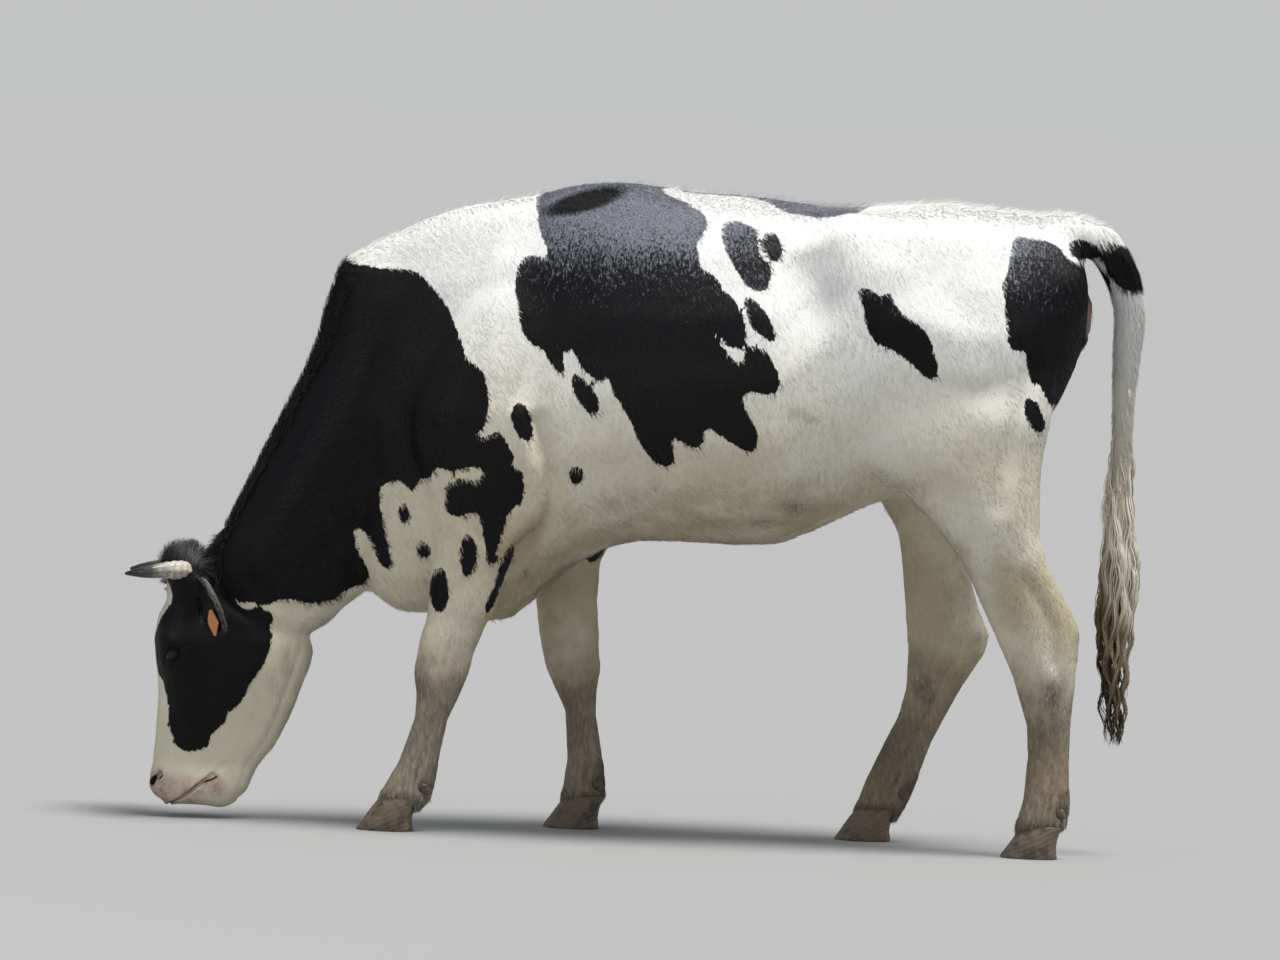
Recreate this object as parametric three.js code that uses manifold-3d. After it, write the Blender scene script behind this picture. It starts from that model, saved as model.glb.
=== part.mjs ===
// A life-size standing model of a grazing dairy heifer: head down, left foreleg forward, right
// hind leg under the belly, tail lifted and hanging clear of the rump.
// Millimetres. +Z is up, the animal faces -X, its left side is -Y, and the soles stand on z = 0
// with the origin under the middle of the body's length.
import * as THREE from "three";
import { mergeVertices } from "three/addons/utils/BufferGeometryUtils.js";
import Module from "manifold-3d";

const wasm = await Module();
wasm.setup();

// ---------------------------------------------------------------- driving dimensions
const GAP = 0.4; // clearance between pieces that touch
const SIDES = { left: -1, right: 1 }; // sign of y on each side of the body
const EYE = { x: -982, y: 90, z: 352, radius: 19.5 };
const EAR = { length: 176, width: 100 };
const CLAW = { length: 128, width: 46, height: 72, cleft: 6, splay: 0.05 };
const TAG = { width: 40, height: 54, thick: 2.4, stem: 3, button: 12, reach: 16, back: 3 };

// ---------------------------------------------------------------- lofting helpers

// Slopes of a smooth curve through (xs, ys) that never overshoots its points.
function gentleSlopes(xs, ys) {
  const steps = xs.slice(1).map((x, i) => (ys[i + 1] - ys[i]) / (x - xs[i]));
  return xs.map((_, i) => {
    if (i === 0) return steps[0];
    if (i === xs.length - 1) return steps[i - 1];
    const [before, after] = [steps[i - 1], steps[i]];
    return before * after <= 0 ? 0 : (2 * before * after) / (before + after);
  });
}

// A function of x through the points, built from cubic pieces with those slopes.
function smoothThrough(xs, ys) {
  const slopes = gentleSlopes(xs, ys);
  return (x) => {
    let i = 0;
    while (i < xs.length - 2 && (x - xs[i + 1]) * Math.sign(xs[1] - xs[0]) > 0) i++;
    const run = xs[i + 1] - xs[i];
    const t = (x - xs[i]) / run;
    const [t2, t3] = [t * t, t * t * t];
    return (
      ys[i] * (2 * t3 - 3 * t2 + 1) +
      slopes[i] * run * (t3 - 2 * t2 + t) +
      ys[i + 1] * (3 * t2 - 2 * t3) +
      slopes[i + 1] * run * (t3 - t2)
    );
  };
}

// Rings of points, each joined to the next, with both ends closed.
function skinOver(rings) {
  const count = rings[0].length;
  const points = rings.flat();
  const faces = [];
  const quad = (a, b, c, d) => {
    const short = points[a].distanceToSquared(points[c]) < points[b].distanceToSquared(points[d]);
    faces.push(...(short ? [a, b, c, a, c, d] : [a, b, d, b, c, d]));
  };
  for (let r = 0; r < rings.length - 1; r++)
    for (let i = 0; i < count; i++) {
      const next = (i + 1) % count;
      quad(r * count + i, r * count + next, (r + 1) * count + next, (r + 1) * count + i);
    }
  for (const [ring, start] of [[rings[0], 0], [rings.at(-1), (rings.length - 1) * count]]) {
    const middle = points.length;
    points.push(ring.reduce((sum, p) => sum.add(p), new THREE.Vector3()).divideScalar(count));
    for (let i = 0; i < count; i++) {
      const [a, b] = [start + i, start + ((i + 1) % count)];
      faces.push(...(start === 0 ? [b, a, middle] : [a, b, middle]));
    }
  }
  return new THREE.BufferGeometry().setFromPoints(points).setIndex(faces);
}

// A body length from sections across a straight axis. A station has its place along the axis (at),
// the section's high and low edges, the height of its widest line (mid), its half width, how
// square it is above and below that line (2 is an ellipse), and its middle's shift sideways.
const FIELDS = ["hi", "lo", "mid", "half", "above", "below", "shift"];
const station = (at, hi, lo, mid, half, above = 2, below = 2, shift = 0) => ({
  at, hi, lo, mid, half, above, below, shift,
});

function sectioned(stations, place, { spacing, around }) {
  const ats = stations.map((s) => s.at);
  const curve = Object.fromEntries(
    FIELDS.map((f) => [f, smoothThrough(ats, stations.map((s) => s[f]))]),
  );
  const cuts = stations.slice(1).flatMap((s, i) => {
    const run = s.at - stations[i].at;
    const n = Math.max(1, Math.round(Math.abs(run) / spacing));
    return Array.from({ length: n }, (_, k) => stations[i].at + (run * k) / n);
  });
  const rings = [...cuts, ats.at(-1)].map((at) => {
    const s = Object.fromEntries(FIELDS.map((f) => [f, curve[f](at)]));
    return Array.from({ length: around }, (_, k) => {
      const turn = (2 * Math.PI * k) / around;
      const [c, w] = [Math.cos(turn), Math.sin(turn)];
      const power = 2 / (c >= 0 ? s.above : s.below);
      const reach = c >= 0 ? s.hi - s.mid : s.mid - s.lo;
      const up = s.mid + Math.sign(c) * reach * Math.abs(c) ** power;
      const across = s.shift + Math.sign(w) * s.half * Math.abs(w) ** power;
      return place(at, up, across);
    });
  });
  return skinOver(rings);
}

// Sections cut square to the body's length, and sections cut level, whose high edge is the front.
const alongBody = (at, up, across) => new THREE.Vector3(at, across, up);
const upright = (at, up, across) => new THREE.Vector3(-up, across, at);

// A round bar of changing thickness along a smooth curve. Radii may differ in and out of its plane.
function taperedBar(points, radii, { steps, around, flat = 1 }) {
  const curve = new THREE.CatmullRomCurve3(points.map((p) => new THREE.Vector3(...p)));
  const where = radii.map((_, i) => i / (radii.length - 1));
  const thick = smoothThrough(where, radii);
  const frames = curve.computeFrenetFrames(steps, false);
  const rings = Array.from({ length: steps + 1 }, (_, i) => {
    const centre = curve.getPointAt(i / steps);
    const radius = thick(i / steps);
    return Array.from({ length: around }, (_, k) => {
      const turn = (2 * Math.PI * k) / around;
      return centre.clone()
        .addScaledVector(frames.normals[i], Math.cos(turn) * radius)
        .addScaledVector(frames.binormals[i], Math.sin(turn) * radius * flat);
    });
  });
  return skinOver(rings);
}

// A rise or hollow in a surface: points near its centre move by push, fading out over its reach.
// One given off the middle plane is matched on the other side.
const rise = (centre, reach, push) => ({ centre, reach, push });

function shapedBy(geometry, rises) {
  const points = geometry.getAttribute("position");
  const both = rises.flatMap((r) => (r.centre[1] === 0 ? [[r, 1]] : [[r, 1], [r, -1]]));
  for (let i = 0; i < points.count; i++) {
    const at = new THREE.Vector3().fromBufferAttribute(points, i);
    const shift = new THREE.Vector3();
    for (const [{ centre, reach, push }, side] of both) {
      const away = new THREE.Vector3(
        (at.x - centre[0]) / reach[0],
        (at.y - side * centre[1]) / reach[1],
        (at.z - centre[2]) / reach[2],
      );
      const fade = Math.exp(-away.lengthSq());
      shift.add(new THREE.Vector3(push[0], side * push[1], push[2]).multiplyScalar(fade));
    }
    points.setXYZ(i, at.x + shift.x, at.y + shift.y, at.z + shift.z);
  }
  return geometry;
}

// ---------------------------------------------------------------- solids

// Six times the volume inside the faces, negative where they are turned in.
function signedVolume(points, faces) {
  const corner = (i) => new THREE.Vector3().fromArray(points, faces[i] * 3);
  let sum = 0;
  for (let i = 0; i < faces.length; i += 3)
    sum += corner(i).dot(corner(i + 1).cross(corner(i + 2)));
  return sum;
}

function solidOf(geometry) {
  const bare = new THREE.BufferGeometry()
    .setAttribute("position", geometry.getAttribute("position"))
    .setIndex(geometry.index);
  const merged = mergeVertices(bare, 1e-3);
  const points = new Float32Array(merged.attributes.position.array);
  const faces = new Uint32Array(merged.index.array);
  if (signedVolume(points, faces) < 0)
    for (let i = 0; i < faces.length; i += 3) [faces[i], faces[i + 1]] = [faces[i + 1], faces[i]];
  return new wasm.Manifold(new wasm.Mesh({ numProp: 3, vertProperties: points, triVerts: faces }));
}

function geometryOf(solid) {
  const mesh = solid.getMesh();
  const geometry = new THREE.BufferGeometry()
    .setAttribute("position", new THREE.BufferAttribute(mesh.vertProperties, 3))
    .setIndex(new THREE.BufferAttribute(mesh.triVerts, 1));
  geometry.computeVertexNormals();
  return geometry;
}

const joined = (solids) => solids.reduce((all, s) => all.add(s));

// Keeps what lies on the side of the plane that its normal points to.
function beyond(solid, point, normal) {
  const n = new THREE.Vector3(...normal).normalize();
  return solid.trimByPlane(n.toArray(), n.dot(new THREE.Vector3(...point)) + GAP / 2);
}

const behind = (solid, point, normal) => beyond(solid, point, normal.map((c) => -c));

// An outline with every edge moved inwards.
function inset(corners, by) {
  const points = corners.map(([x, z]) => new THREE.Vector2(x, z));
  const turn = Math.sign(THREE.ShapeUtils.area(points));
  return points.map((point, i) => {
    const before = point.clone().sub(points.at(i - 1)).normalize();
    const after = points[(i + 1) % points.length].clone().sub(point).normalize();
    const across = after.clone().sub(before).multiplyScalar(by / Math.abs(before.cross(after)));
    const reflex = turn * before.cross(after) < 0;
    return point.clone().addScaledVector(across, reflex ? -1 : 1).toArray();
  });
}

// A prism over a side-view outline of [x, z] corners, reaching past the body on both sides.
function sidePrism(corners, reach = 600) {
  const outline = new THREE.Shape(corners.map(([x, z]) => new THREE.Vector2(x, z)));
  const prism = new THREE.ExtrudeGeometry(outline, { depth: 2 * reach, bevelEnabled: false });
  return solidOf(prism.rotateX(Math.PI / 2).translate(0, reach, 0));
}

// ---------------------------------------------------------------- trunk

// Along the body: place, back, belly, widest height, half width, squareness above and below.
const TRUNK = [
  station(-668, 1206, 1090, 1150, 22),
  station(-640, 1228, 960, 1090, 62, 1.8),
  station(-585, 1262, 560, 900, 104, 1.7, 2.2),
  station(-560, 1276, 500, 800, 118, 1.6, 2.4),
  station(-500, 1309, 476, 790, 146, 1.55, 2.1),
  station(-410, 1345, 458, 800, 182, 1.5, 1.9),
  station(-324, 1362, 448, 830, 206, 1.5, 1.8),
  station(-262, 1374, 456, 850, 222, 1.5, 1.8),
  station(-200, 1392, 512, 870, 238, 1.5, 2.0),
  station(-140, 1407, 572, 890, 252, 1.5, 2.1),
  station(-60, 1413, 622, 905, 274, 1.55, 2.2),
  station(10, 1408, 640, 915, 290, 1.6, 2.25),
  station(110, 1396, 642, 920, 304, 1.7, 2.3),
  station(220, 1394, 640, 925, 306, 1.8, 2.3),
  station(305, 1385, 645, 940, 298, 1.95, 2.25),
  station(370, 1378, 672, 975, 282, 2.4, 2.15),
  station(430, 1377, 702, 1030, 264, 3.1, 2.1),
  station(500, 1381, 738, 1075, 252, 2.6, 2.0),
  station(583, 1391, 762, 1085, 242, 2.1, 2.0),
  station(647, 1397, 778, 1080, 236, 1.8, 2.0),
  station(720, 1389, 800, 1075, 224, 1.7, 2.0),
  station(800, 1382, 850, 1080, 196, 1.65, 2.0),
  station(860, 1372, 905, 1110, 166, 1.8, 2.0),
  station(905, 1345, 985, 1150, 130, 2.0, 2.0),
  station(935, 1296, 1060, 1180, 82, 2.1, 2.0),
  station(950, 1240, 1130, 1185, 40, 2.0, 2.0),
];

// Where bone and hollow show through: hips, pins, thighs, flank, ribs, shoulder, brisket.
const TRUNK_RISES = [
  rise([436, 222, 1296], [74, 70, 58], [0, 26, 8]),
  rise([925, 100, 1216], [42, 50, 46], [10, 30, 2]),
  rise([742, 226, 1075], [110, 90, 100], [0, 14, 0]),
  rise([600, 210, 1240], [95, 70, 70], [0, -16, 0]),
  rise([342, 240, 1220], [72, 90, 78], [0, -30, -4]),
  rise([262, 270, 1090], [46, 90, 170], [0, 9, 0]),
  rise([-120, 236, 960], [50, 80, 150], [0, -14, 0]),
  rise([-556, 0, 556], [46, 110, 70], [-16, 0, -4]),
];

const UDDER = [
  station(560, 775, 758, 766, 30),
  station(600, 800, 746, 775, 74),
  station(660, 830, 748, 785, 84, 2, 2.4),
  station(715, 850, 790, 820, 40),
];

// ---------------------------------------------------------------- neck and head

// Level sections: height, front (as -x), back (as -x), widest place, half width, squareness.
const NECK = [
  station(1222, 640, 470, 560, 26, 1.8, 2),
  station(1196, 664, 440, 560, 56, 1.7, 2),
  station(1128, 688, 420, 565, 86, 1.6, 2),
  station(1041, 706, 400, 570, 106, 1.6, 2),
  station(975, 731, 410, 580, 116, 1.6, 2),
  station(909, 761, 440, 600, 120, 1.65, 2),
  station(842, 791, 470, 630, 120, 1.7, 2),
  station(754, 831, 510, 670, 118, 1.8, 2),
  station(688, 861, 535, 705, 113, 1.9, 2),
  station(622, 891, 550, 735, 108, 2, 2),
  station(577, 916, 558, 760, 104, 2, 2),
  station(535, 940, 564, 775, 98, 2, 2),
  station(505, 950, 572, 785, 93, 2, 2),
  station(476, 950, 612, 795, 88, 2, 2),
  station(440, 940, 645, 800, 82, 2, 2),
  station(405, 920, 700, 810, 70, 2, 2),
];

// Windpipe and the groove beside it, the muscle along the crest, and the dip before the shoulder.
const NECK_RISES = [
  rise([-620, 122, 760], [70, 60, 170], [0, -9, 0]),
  rise([-760, 120, 800], [60, 60, 190], [0, 5, 0]),
  rise([-590, 110, 1010], [60, 60, 110], [0, -12, 0]),
];

const HEAD = [
  station(580, 990, 950, 970, 26),
  station(570, 1006, 928, 968, 52),
  station(548, 1014, 898, 960, 72, 2.4),
  station(512, 1007, 870, 955, 84, 2.6, 2),
  station(466, 1005, 815, 950, 92, 2.8, 2),
  station(430, 1022, 716, 945, 97, 2.9, 2),
  station(384, 1029, 681, 940, 101, 2.9, 2),
  station(340, 1024, 686, 935, 98, 2.8, 2),
  station(292, 1017, 704, 925, 88, 2.6, 2.1),
  station(248, 1015, 718, 920, 78, 2.4, 2.2),
  station(205, 1017, 737, 925, 69, 2.3, 2.2),
  station(162, 1018, 758, 930, 62, 2.3, 2.2),
  station(118, 1021, 792, 945, 60, 2.5, 2.2),
  station(88, 1026, 806, 955, 66, 2.7, 2.3),
  station(62, 1025, 814, 960, 66, 2.7, 2.4),
  station(42, 1013, 820, 955, 58, 2.5, 2.4),
  station(28, 985, 832, 930, 36, 2.2, 2.2),
];

// Brow, eye socket, temple, cheek muscle, cheek bone, horn root, nostrils, lips and chin.
const HEAD_RISES = [
  rise([-984, 92, 352], [38, 34, 36], [0, 17, 0]),
  rise([-990, 80, 398], [36, 36, 28], [0, 9, 0]),
  rise([-950, 92, 448], [34, 40, 34], [0, -9, 0]),
  rise([-800, 92, 360], [70, 50, 80], [0, 12, 0]),
  rise([-915, 78, 262], [70, 40, 26], [0, 8, 0]),
  rise([-955, 74, 528], [32, 34, 26], [-2, 18, 2]),
  rise([-1000, 60, 92], [26, 26, 22], [-3, 5, 0]),
  rise([-900, 62, 120], [36, 30, 14], [0, -5, 0]),
  rise([-850, 0, 52], [24, 60, 24], [8, 0, -4]),
];

// ---------------------------------------------------------------- legs

// Level sections from top to foot: height, front (-x), back (-x), widest place (-x), half width,
// squareness in front and behind, and how far from the middle plane. The top of each sinks into
// the trunk. An outline in side view, as [x, z], parts the leg from the trunk.
const FORELEG_LEFT = {
  side: -1,
  around: 10,
  heel: -448,
  dewclaw: [-420, 92],
  joint: 392,
  stations: [
    station(1300, 265, 160, 212, 14, 2, 2, 42),
    station(1240, 312, 142, 225, 38, 2, 2, 68),
    station(1130, 395, 152, 268, 68, 2, 2, 98),
    station(1010, 462, 172, 322, 90, 2, 2, 118),
    station(900, 500, 188, 362, 104, 2.1, 2, 127),
    station(745, 468, 188, 340, 95, 2.1, 2, 136),
    station(690, 448, 189, 330, 84, 2.1, 2, 141),
    station(640, 441, 214, 335, 74, 2.1, 2, 145),
    station(584, 441, 264, 350, 65, 2.1, 2, 148),
    station(497, 438, 286, 365, 56, 2.1, 2, 151),
    station(395, 457, 331, 400, 48, 2.3, 2.1, 152),
    station(340, 463, 345, 412, 49, 2.4, 2.2, 152),
    station(292, 455, 363, 412, 41, 2.3, 2.1, 152),
    station(245, 457, 384, 424, 32, 2, 2, 152),
    station(150, 487, 401, 448, 36, 2, 2, 152),
    station(84, 522, 410, 474, 44, 2.2, 2.1, 152),
    station(40, 534, 440, 496, 40, 2.3, 2.2, 152),
  ],
  rises: [
    rise([-494, 180, 840], [52, 70, 70], [-8, 14, 0]),
    rise([-205, 170, 688], [38, 60, 46], [10, 9, 0]),
    rise([-300, 160, 1010], [46, 60, 120], [0, 6, 0]),
  ],
  outline: [
    [-160, 1120], [-350, 1120], [-450, 1020], [-520, 900], [-480, 660],
    [-600, 300], [-680, -50], [-300, -50], [-270, 540], [-180, 640], [-165, 900],
  ],
};

const FORELEG_RIGHT = {
  side: 1,
  around: 10,
  heel: -50,
  dewclaw: [-50, 94],
  joint: 392,
  stations: [
    station(1300, 235, 130, 182, 14, 2, 2, 42),
    station(1240, 280, 108, 195, 38, 2, 2, 68),
    station(1130, 352, 102, 232, 68, 2, 2, 98),
    station(1010, 412, 88, 262, 90, 2, 2, 118),
    station(900, 432, 66, 270, 104, 2.1, 2, 127),
    station(745, 372, 28, 210, 95, 2.1, 2, 136),
    station(690, 320, 28, 175, 84, 2.1, 2, 141),
    station(640, 268, 42, 150, 74, 2.1, 2, 145),
    station(584, 234, 72, 148, 65, 2.1, 2, 148),
    station(497, 212, 76, 142, 56, 2.1, 2, 151),
    station(395, 197, 66, 134, 48, 2.3, 2.1, 152),
    station(345, 182, 63, 124, 48, 2.4, 2.2, 152),
    station(300, 160, 69, 114, 41, 2.3, 2.1, 152),
    station(255, 137, 69, 104, 32, 2, 2, 152),
    station(150, 128, 49, 92, 36, 2, 2, 152),
    station(80, 136, 40, 94, 44, 2.2, 2.1, 152),
    station(40, 140, 56, 102, 40, 2.3, 2.2, 152),
  ],
  rises: [
    rise([-425, 180, 850], [52, 70, 70], [-8, 14, 0]),
    rise([-45, 170, 688], [38, 60, 46], [10, 9, 0]),
  ],
  outline: [
    [-110, 1120], [-320, 1120], [-400, 1020], [-440, 900], [-330, 660],
    [-240, 480], [-240, -50], [60, -50], [-30, 540], [-5, 660], [-60, 900],
  ],
};

const HINDLEG_LEFT = {
  side: -1,
  around: 12,
  heel: 936,
  dewclaw: [944, 98],
  joint: 545,
  stations: [
    station(1150, -620, -850, -740, 28, 2, 2, 88),
    station(1100, -510, -868, -710, 60, 2, 2, 100),
    station(1030, -440, -890, -690, 92, 2, 2, 120),
    station(935, -420, -884, -670, 107, 2, 2, 132),
    station(872, -414, -872, -640, 106, 1.9, 2, 133),
    station(832, -440, -868, -660, 102, 1.9, 2, 134),
    station(783, -560, -866, -710, 95, 2, 2, 137),
    station(689, -655, -870, -760, 76, 2, 2, 145),
    station(630, -701, -890, -790, 65, 2, 2, 150),
    station(535, -748, -946, -825, 51, 2.1, 1.6, 154),
    station(490, -772, -963, -850, 48, 2.2, 1.6, 155),
    station(392, -820, -958, -885, 43, 2.3, 1.9, 156),
    station(287, -855, -951, -906, 32, 2, 2, 156),
    station(220, -861, -951, -908, 31, 2, 2, 156),
    station(120, -855, -956, -906, 42, 2.1, 2, 156),
    station(84, -845, -954, -896, 44, 2.2, 2.1, 156),
    station(40, -842, -930, -884, 40, 2.3, 2.2, 156),
  ],
  rises: [
    rise([560, 200, 838], [70, 60, 56], [-8, 12, 0]),
    rise([800, 150, 700], [50, 60, 70], [0, 5, 0]),
  ],
  outline: [
    [385, 852], [455, 980], [560, 1100], [700, 1150], [850, 1110], [1010, 1050],
    [1010, -50], [700, -50], [620, 500],
  ],
};

const HINDLEG_RIGHT = {
  side: 1,
  around: 12,
  heel: 585,
  dewclaw: [614, 104],
  joint: 525,
  stations: [
    station(1150, -605, -840, -725, 28, 2, 2, 88),
    station(1100, -495, -858, -690, 60, 2, 2, 100),
    station(1030, -425, -882, -670, 92, 2, 2, 120),
    station(935, -402, -868, -640, 107, 2, 2, 132),
    station(872, -398, -842, -600, 106, 1.9, 2, 133),
    station(832, -420, -822, -610, 102, 1.9, 2, 134),
    station(783, -500, -795, -640, 95, 2, 2, 137),
    station(680, -566, -735, -650, 76, 2, 2, 145),
    station(626, -578, -722, -650, 65, 2, 2, 150),
    station(510, -592, -758, -665, 51, 2.1, 1.7, 154),
    station(460, -598, -781, -685, 48, 2.2, 1.6, 155),
    station(420, -603, -773, -685, 47, 2.3, 1.7, 156),
    station(335, -602, -720, -660, 37, 2.1, 2, 156),
    station(275, -588, -690, -640, 33, 2, 2, 156),
    station(215, -560, -662, -612, 32, 2, 2, 156),
    station(130, -523, -634, -578, 42, 2.1, 2, 156),
    station(96, -512, -622, -562, 44, 2.2, 2.1, 156),
    station(40, -492, -590, -540, 40, 2.3, 2.2, 156),
  ],
  rises: [
    rise([520, 200, 838], [70, 60, 56], [-8, 12, 0]),
    rise([680, 150, 700], [50, 60, 70], [0, 5, 0]),
  ],
  outline: [
    [362, 852], [435, 980], [540, 1100], [690, 1150], [840, 1110], [1010, 1050],
    [1010, -50], [380, -50], [500, 500],
  ],
};

// The plane that parts a leg's inner side from the body leans outwards with height.
const FORELEG_PARTING = { y: 82, z: 520, lean: 0.06 };
const HINDLEG_PARTING = { y: 24, z: 770, lean: 0.34 };

const LEGS = {
  foreleg_left: { ...FORELEG_LEFT, parting: FORELEG_PARTING },
  foreleg_right: { ...FORELEG_RIGHT, parting: FORELEG_PARTING },
  hindleg_left: { ...HINDLEG_LEFT, parting: HINDLEG_PARTING },
  hindleg_right: { ...HINDLEG_RIGHT, parting: HINDLEG_PARTING },
};

function legSolid({ side, stations, around, rises }) {
  const placed = stations.map((s) => ({ ...s, shift: side * s.shift }));
  return solidOf(shapedBy(sectioned(placed, upright, { spacing: 90, around }), rises));
}

const footCentre = ({ side, stations }) => side * stations.at(-1).shift;

// One claw, heel at x = 0 and toe towards -x, its flat inner side on y = 0 and outer side at +y.
function claw(grow = 0) {
  const { length, width, height } = CLAW;
  const around = 10;
  const levels = [
    { z: 0, toe: length, heel: 0, wide: width },
    { z: height * 0.33, toe: length * 0.87, heel: -4, wide: width },
    { z: height * 0.7, toe: length * 0.73, heel: 0, wide: width * 0.95 },
    { z: height, toe: length * 0.6, heel: 12, wide: width * 0.82 },
  ];
  const rings = levels.map(({ z, toe, heel, wide }) =>
    Array.from({ length: around }, (_, k) => {
      const turn = (2 * Math.PI * k) / around;
      const [c, s] = [Math.cos(turn), Math.sin(turn)];
      const x = (heel - toe) / 2 - ((toe + heel) / 2 + grow) * c;
      const bulge = Math.abs(s) ** 0.75 * (1 - 0.16 * Math.max(0, c));
      const y = s > 0.01 ? wide * bulge + grow : -grow - 2 * bulge;
      return new THREE.Vector3(x, y, z + (z > 0 ? grow : 0));
    }));
  return skinOver(rings);
}

function footClaws(name, grow = 0) {
  const leg = LEGS[name];
  return ["outer", "inner"].map((which) => {
    const outwards = which === "outer" ? leg.side : -leg.side;
    const shape = claw(grow).scale(1, outwards, 1).rotateZ(-outwards * CLAW.splay);
    shape.translate(leg.heel, footCentre(leg) + outwards * (CLAW.cleft / 2 + 2), 0);
    return { name: `${name}_claw_${which}`, solid: solidOf(shape) };
  });
}

function dewclaws(name, grow = 0) {
  const leg = LEGS[name];
  const [x, z] = leg.dewclaw;
  return ["outer", "inner"].map((which) => {
    const outwards = which === "outer" ? leg.side : -leg.side;
    const y = footCentre(leg) + outwards * 26;
    const path = [[x - 22, y, z + 6], [x - 4, y, z + 2], [x + 9, y + outwards * 2, z - 10]];
    const bar = taperedBar(path, [13 + grow, 13 + grow, 7 + grow], { steps: 2, around: 6 });
    return { name: `${name}_dewclaw_${which}`, solid: solidOf(bar) };
  });
}

// ---------------------------------------------------------------- tail

// The dock's middle line, lifted clear of the rump and then hanging, with its radius at each point.
const TAIL_LINE = [
  { at: [800, 0, 1324], radius: 44 },
  { at: [856, 0, 1338], radius: 44 },
  { at: [910, 0, 1341], radius: 41 },
  { at: [960, 0, 1329], radius: 37 },
  { at: [1004, 0, 1289], radius: 34 },
  { at: [1030, 0, 1240], radius: 31 },
  { at: [1044, 0, 1180], radius: 28 },
  { at: [1044, 0, 1110], radius: 24 },
  { at: [1040, 0, 1030], radius: 20 },
  { at: [1040, 0, 940], radius: 19 },
  { at: [1040, 0, 850], radius: 19 },
  { at: [1043, 0, 745], radius: 22 },
];

// The long hair at the tail's end, as one body of its outer shape.
const SWITCH = [
  station(790, -1021, -1062, -1042, 20),
  station(720, -1010, -1076, -1043, 29),
  station(640, -1003, -1088, -1046, 37),
  station(510, -1002, -1092, -1047, 40),
  station(423, -1006, -1090, -1048, 36),
  station(337, -1018, -1086, -1052, 28),
  station(270, -1034, -1082, -1058, 18),
  station(232, -1058, -1076, -1067, 7),
];

// What lies behind this line in side view is tail; the rump is in front of it.
const TAIL_OUTLINE = [
  [898, 1420], [898, 1304], [950, 1296], [990, 1200], [990, 100], [1200, 100], [1200, 1420],
];

// ---------------------------------------------------------------- horns, ears, eyes, ear tags

function horn(side) {
  const path = [
    [-952, side * 58, 531], [-980, side * 84, 535], [-1010, side * 104, 534],
    [-1040, side * 117, 530], [-1070, side * 116, 527], [-1094, side * 108, 524],
  ];
  return taperedBar(path, [25, 22, 19, 15.5, 11, 3.5], { steps: 8, around: 8 });
}

// A cupped leaf: outer skin and inner skin a few millimetres apart, joined round the rim. Its own
// frame has the root at the origin, the tip along +x, the hollow facing -z and the width along y.
function earLeaf() {
  const [along, across, wall] = [7, 5, 9];
  const width = smoothThrough([0, 0.12, 0.35, 0.6, 0.85, 1], [0.4, 0.54, 0.92, 1, 0.66, 0.14]);
  const sheet = (inner) =>
    Array.from({ length: along + 1 }, (_, i) => {
      const s = i / along;
      const half = (EAR.width / 2) * width(s) - (inner ? 2 : 0);
      const cup = 1.25 * (1 - 0.5 * s);
      const radius = half / Math.sin(cup);
      return Array.from({ length: across + 1 }, (_, j) => {
        const t = (2 * j) / across - 1;
        const thin = inner ? wall * (1 - 0.4 * Math.abs(t)) * (1 - 0.4 * s) : 0;
        const fall = radius * (Math.cos(t * cup) - 1) - thin;
        return new THREE.Vector3(s * EAR.length, radius * Math.sin(t * cup), fall);
      });
    });
  const [outer, inner] = [sheet(false), sheet(true)];
  return skinOver(outer.map((row, i) => [...row, ...inner[i].reverse()]));
}

// Each ear's root, its direction to the tip, the way its hollow faces and where its tag goes
// through, along the ear and across it.
const EARS = {
  left: {
    root: [-929, -85, 516], tip: [0.36, -0.74, -0.57], hollow: [-0.5, -0.72, -0.4],
    tag: [0.68, 0.1],
  },
  right: {
    root: [-924, 84, 502], tip: [-0.5, 0.86, -0.1], hollow: [-0.5, -0.2, -0.84],
    tag: [0.68, -0.1],
  },
};

function earFrame({ root, tip, hollow }) {
  const x = new THREE.Vector3(...tip).normalize();
  const z = new THREE.Vector3(...hollow).negate();
  z.addScaledVector(x, -z.dot(x)).normalize();
  const y = new THREE.Vector3().crossVectors(z, x);
  return new THREE.Matrix4().makeBasis(x, y, z).setPosition(...root);
}

// A flag tag: a plate with cut corners, its button on the ear's other side and the stem between.
// Its own frame has the stem along z, the plate below the ear and its free edge towards +x.
function flagTag(ear, grow = 0) {
  const [w, h, cut] = [TAG.width / 2, TAG.height, 9];
  const plate = new THREE.Shape([
    [-w + cut, -10], [w - cut, -10], [w, -10 + cut], [w, h - 14], [w - 4, h - 10],
    [-w + 4, h - 10], [-w, h - 14], [-w, -10 + cut],
  ].map(([x, y]) => new THREE.Vector2(y, x)));
  const flag = new THREE.ExtrudeGeometry(plate, { depth: TAG.thick, bevelEnabled: false });
  flag.translate(0, 0, -TAG.reach - TAG.thick);
  const round = (radius, from, to) => new THREE.CylinderGeometry(radius, radius, to - from, 10)
    .rotateX(Math.PI / 2).translate(0, 0, (from + to) / 2);
  const stem = round(TAG.stem + grow, -TAG.reach - TAG.thick / 2, TAG.back + 1);
  const button = round(TAG.button, TAG.back, TAG.back + TAG.thick);
  const solids = grow > 0 ? [stem] : [flag, stem, button];
  const [along, across] = ear.tag;
  const place = earFrame(ear).multiply(new THREE.Matrix4()
    .makeTranslation(along * EAR.length, across * EAR.width / 2, 0));
  return joined(solids.map((g) => solidOf(g.applyMatrix4(place))));
}

const ball = (centre, radius) =>
  solidOf(new THREE.SphereGeometry(radius, 10, 7).rotateX(Math.PI / 2).translate(...centre));

// ---------------------------------------------------------------- the whole hide

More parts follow.
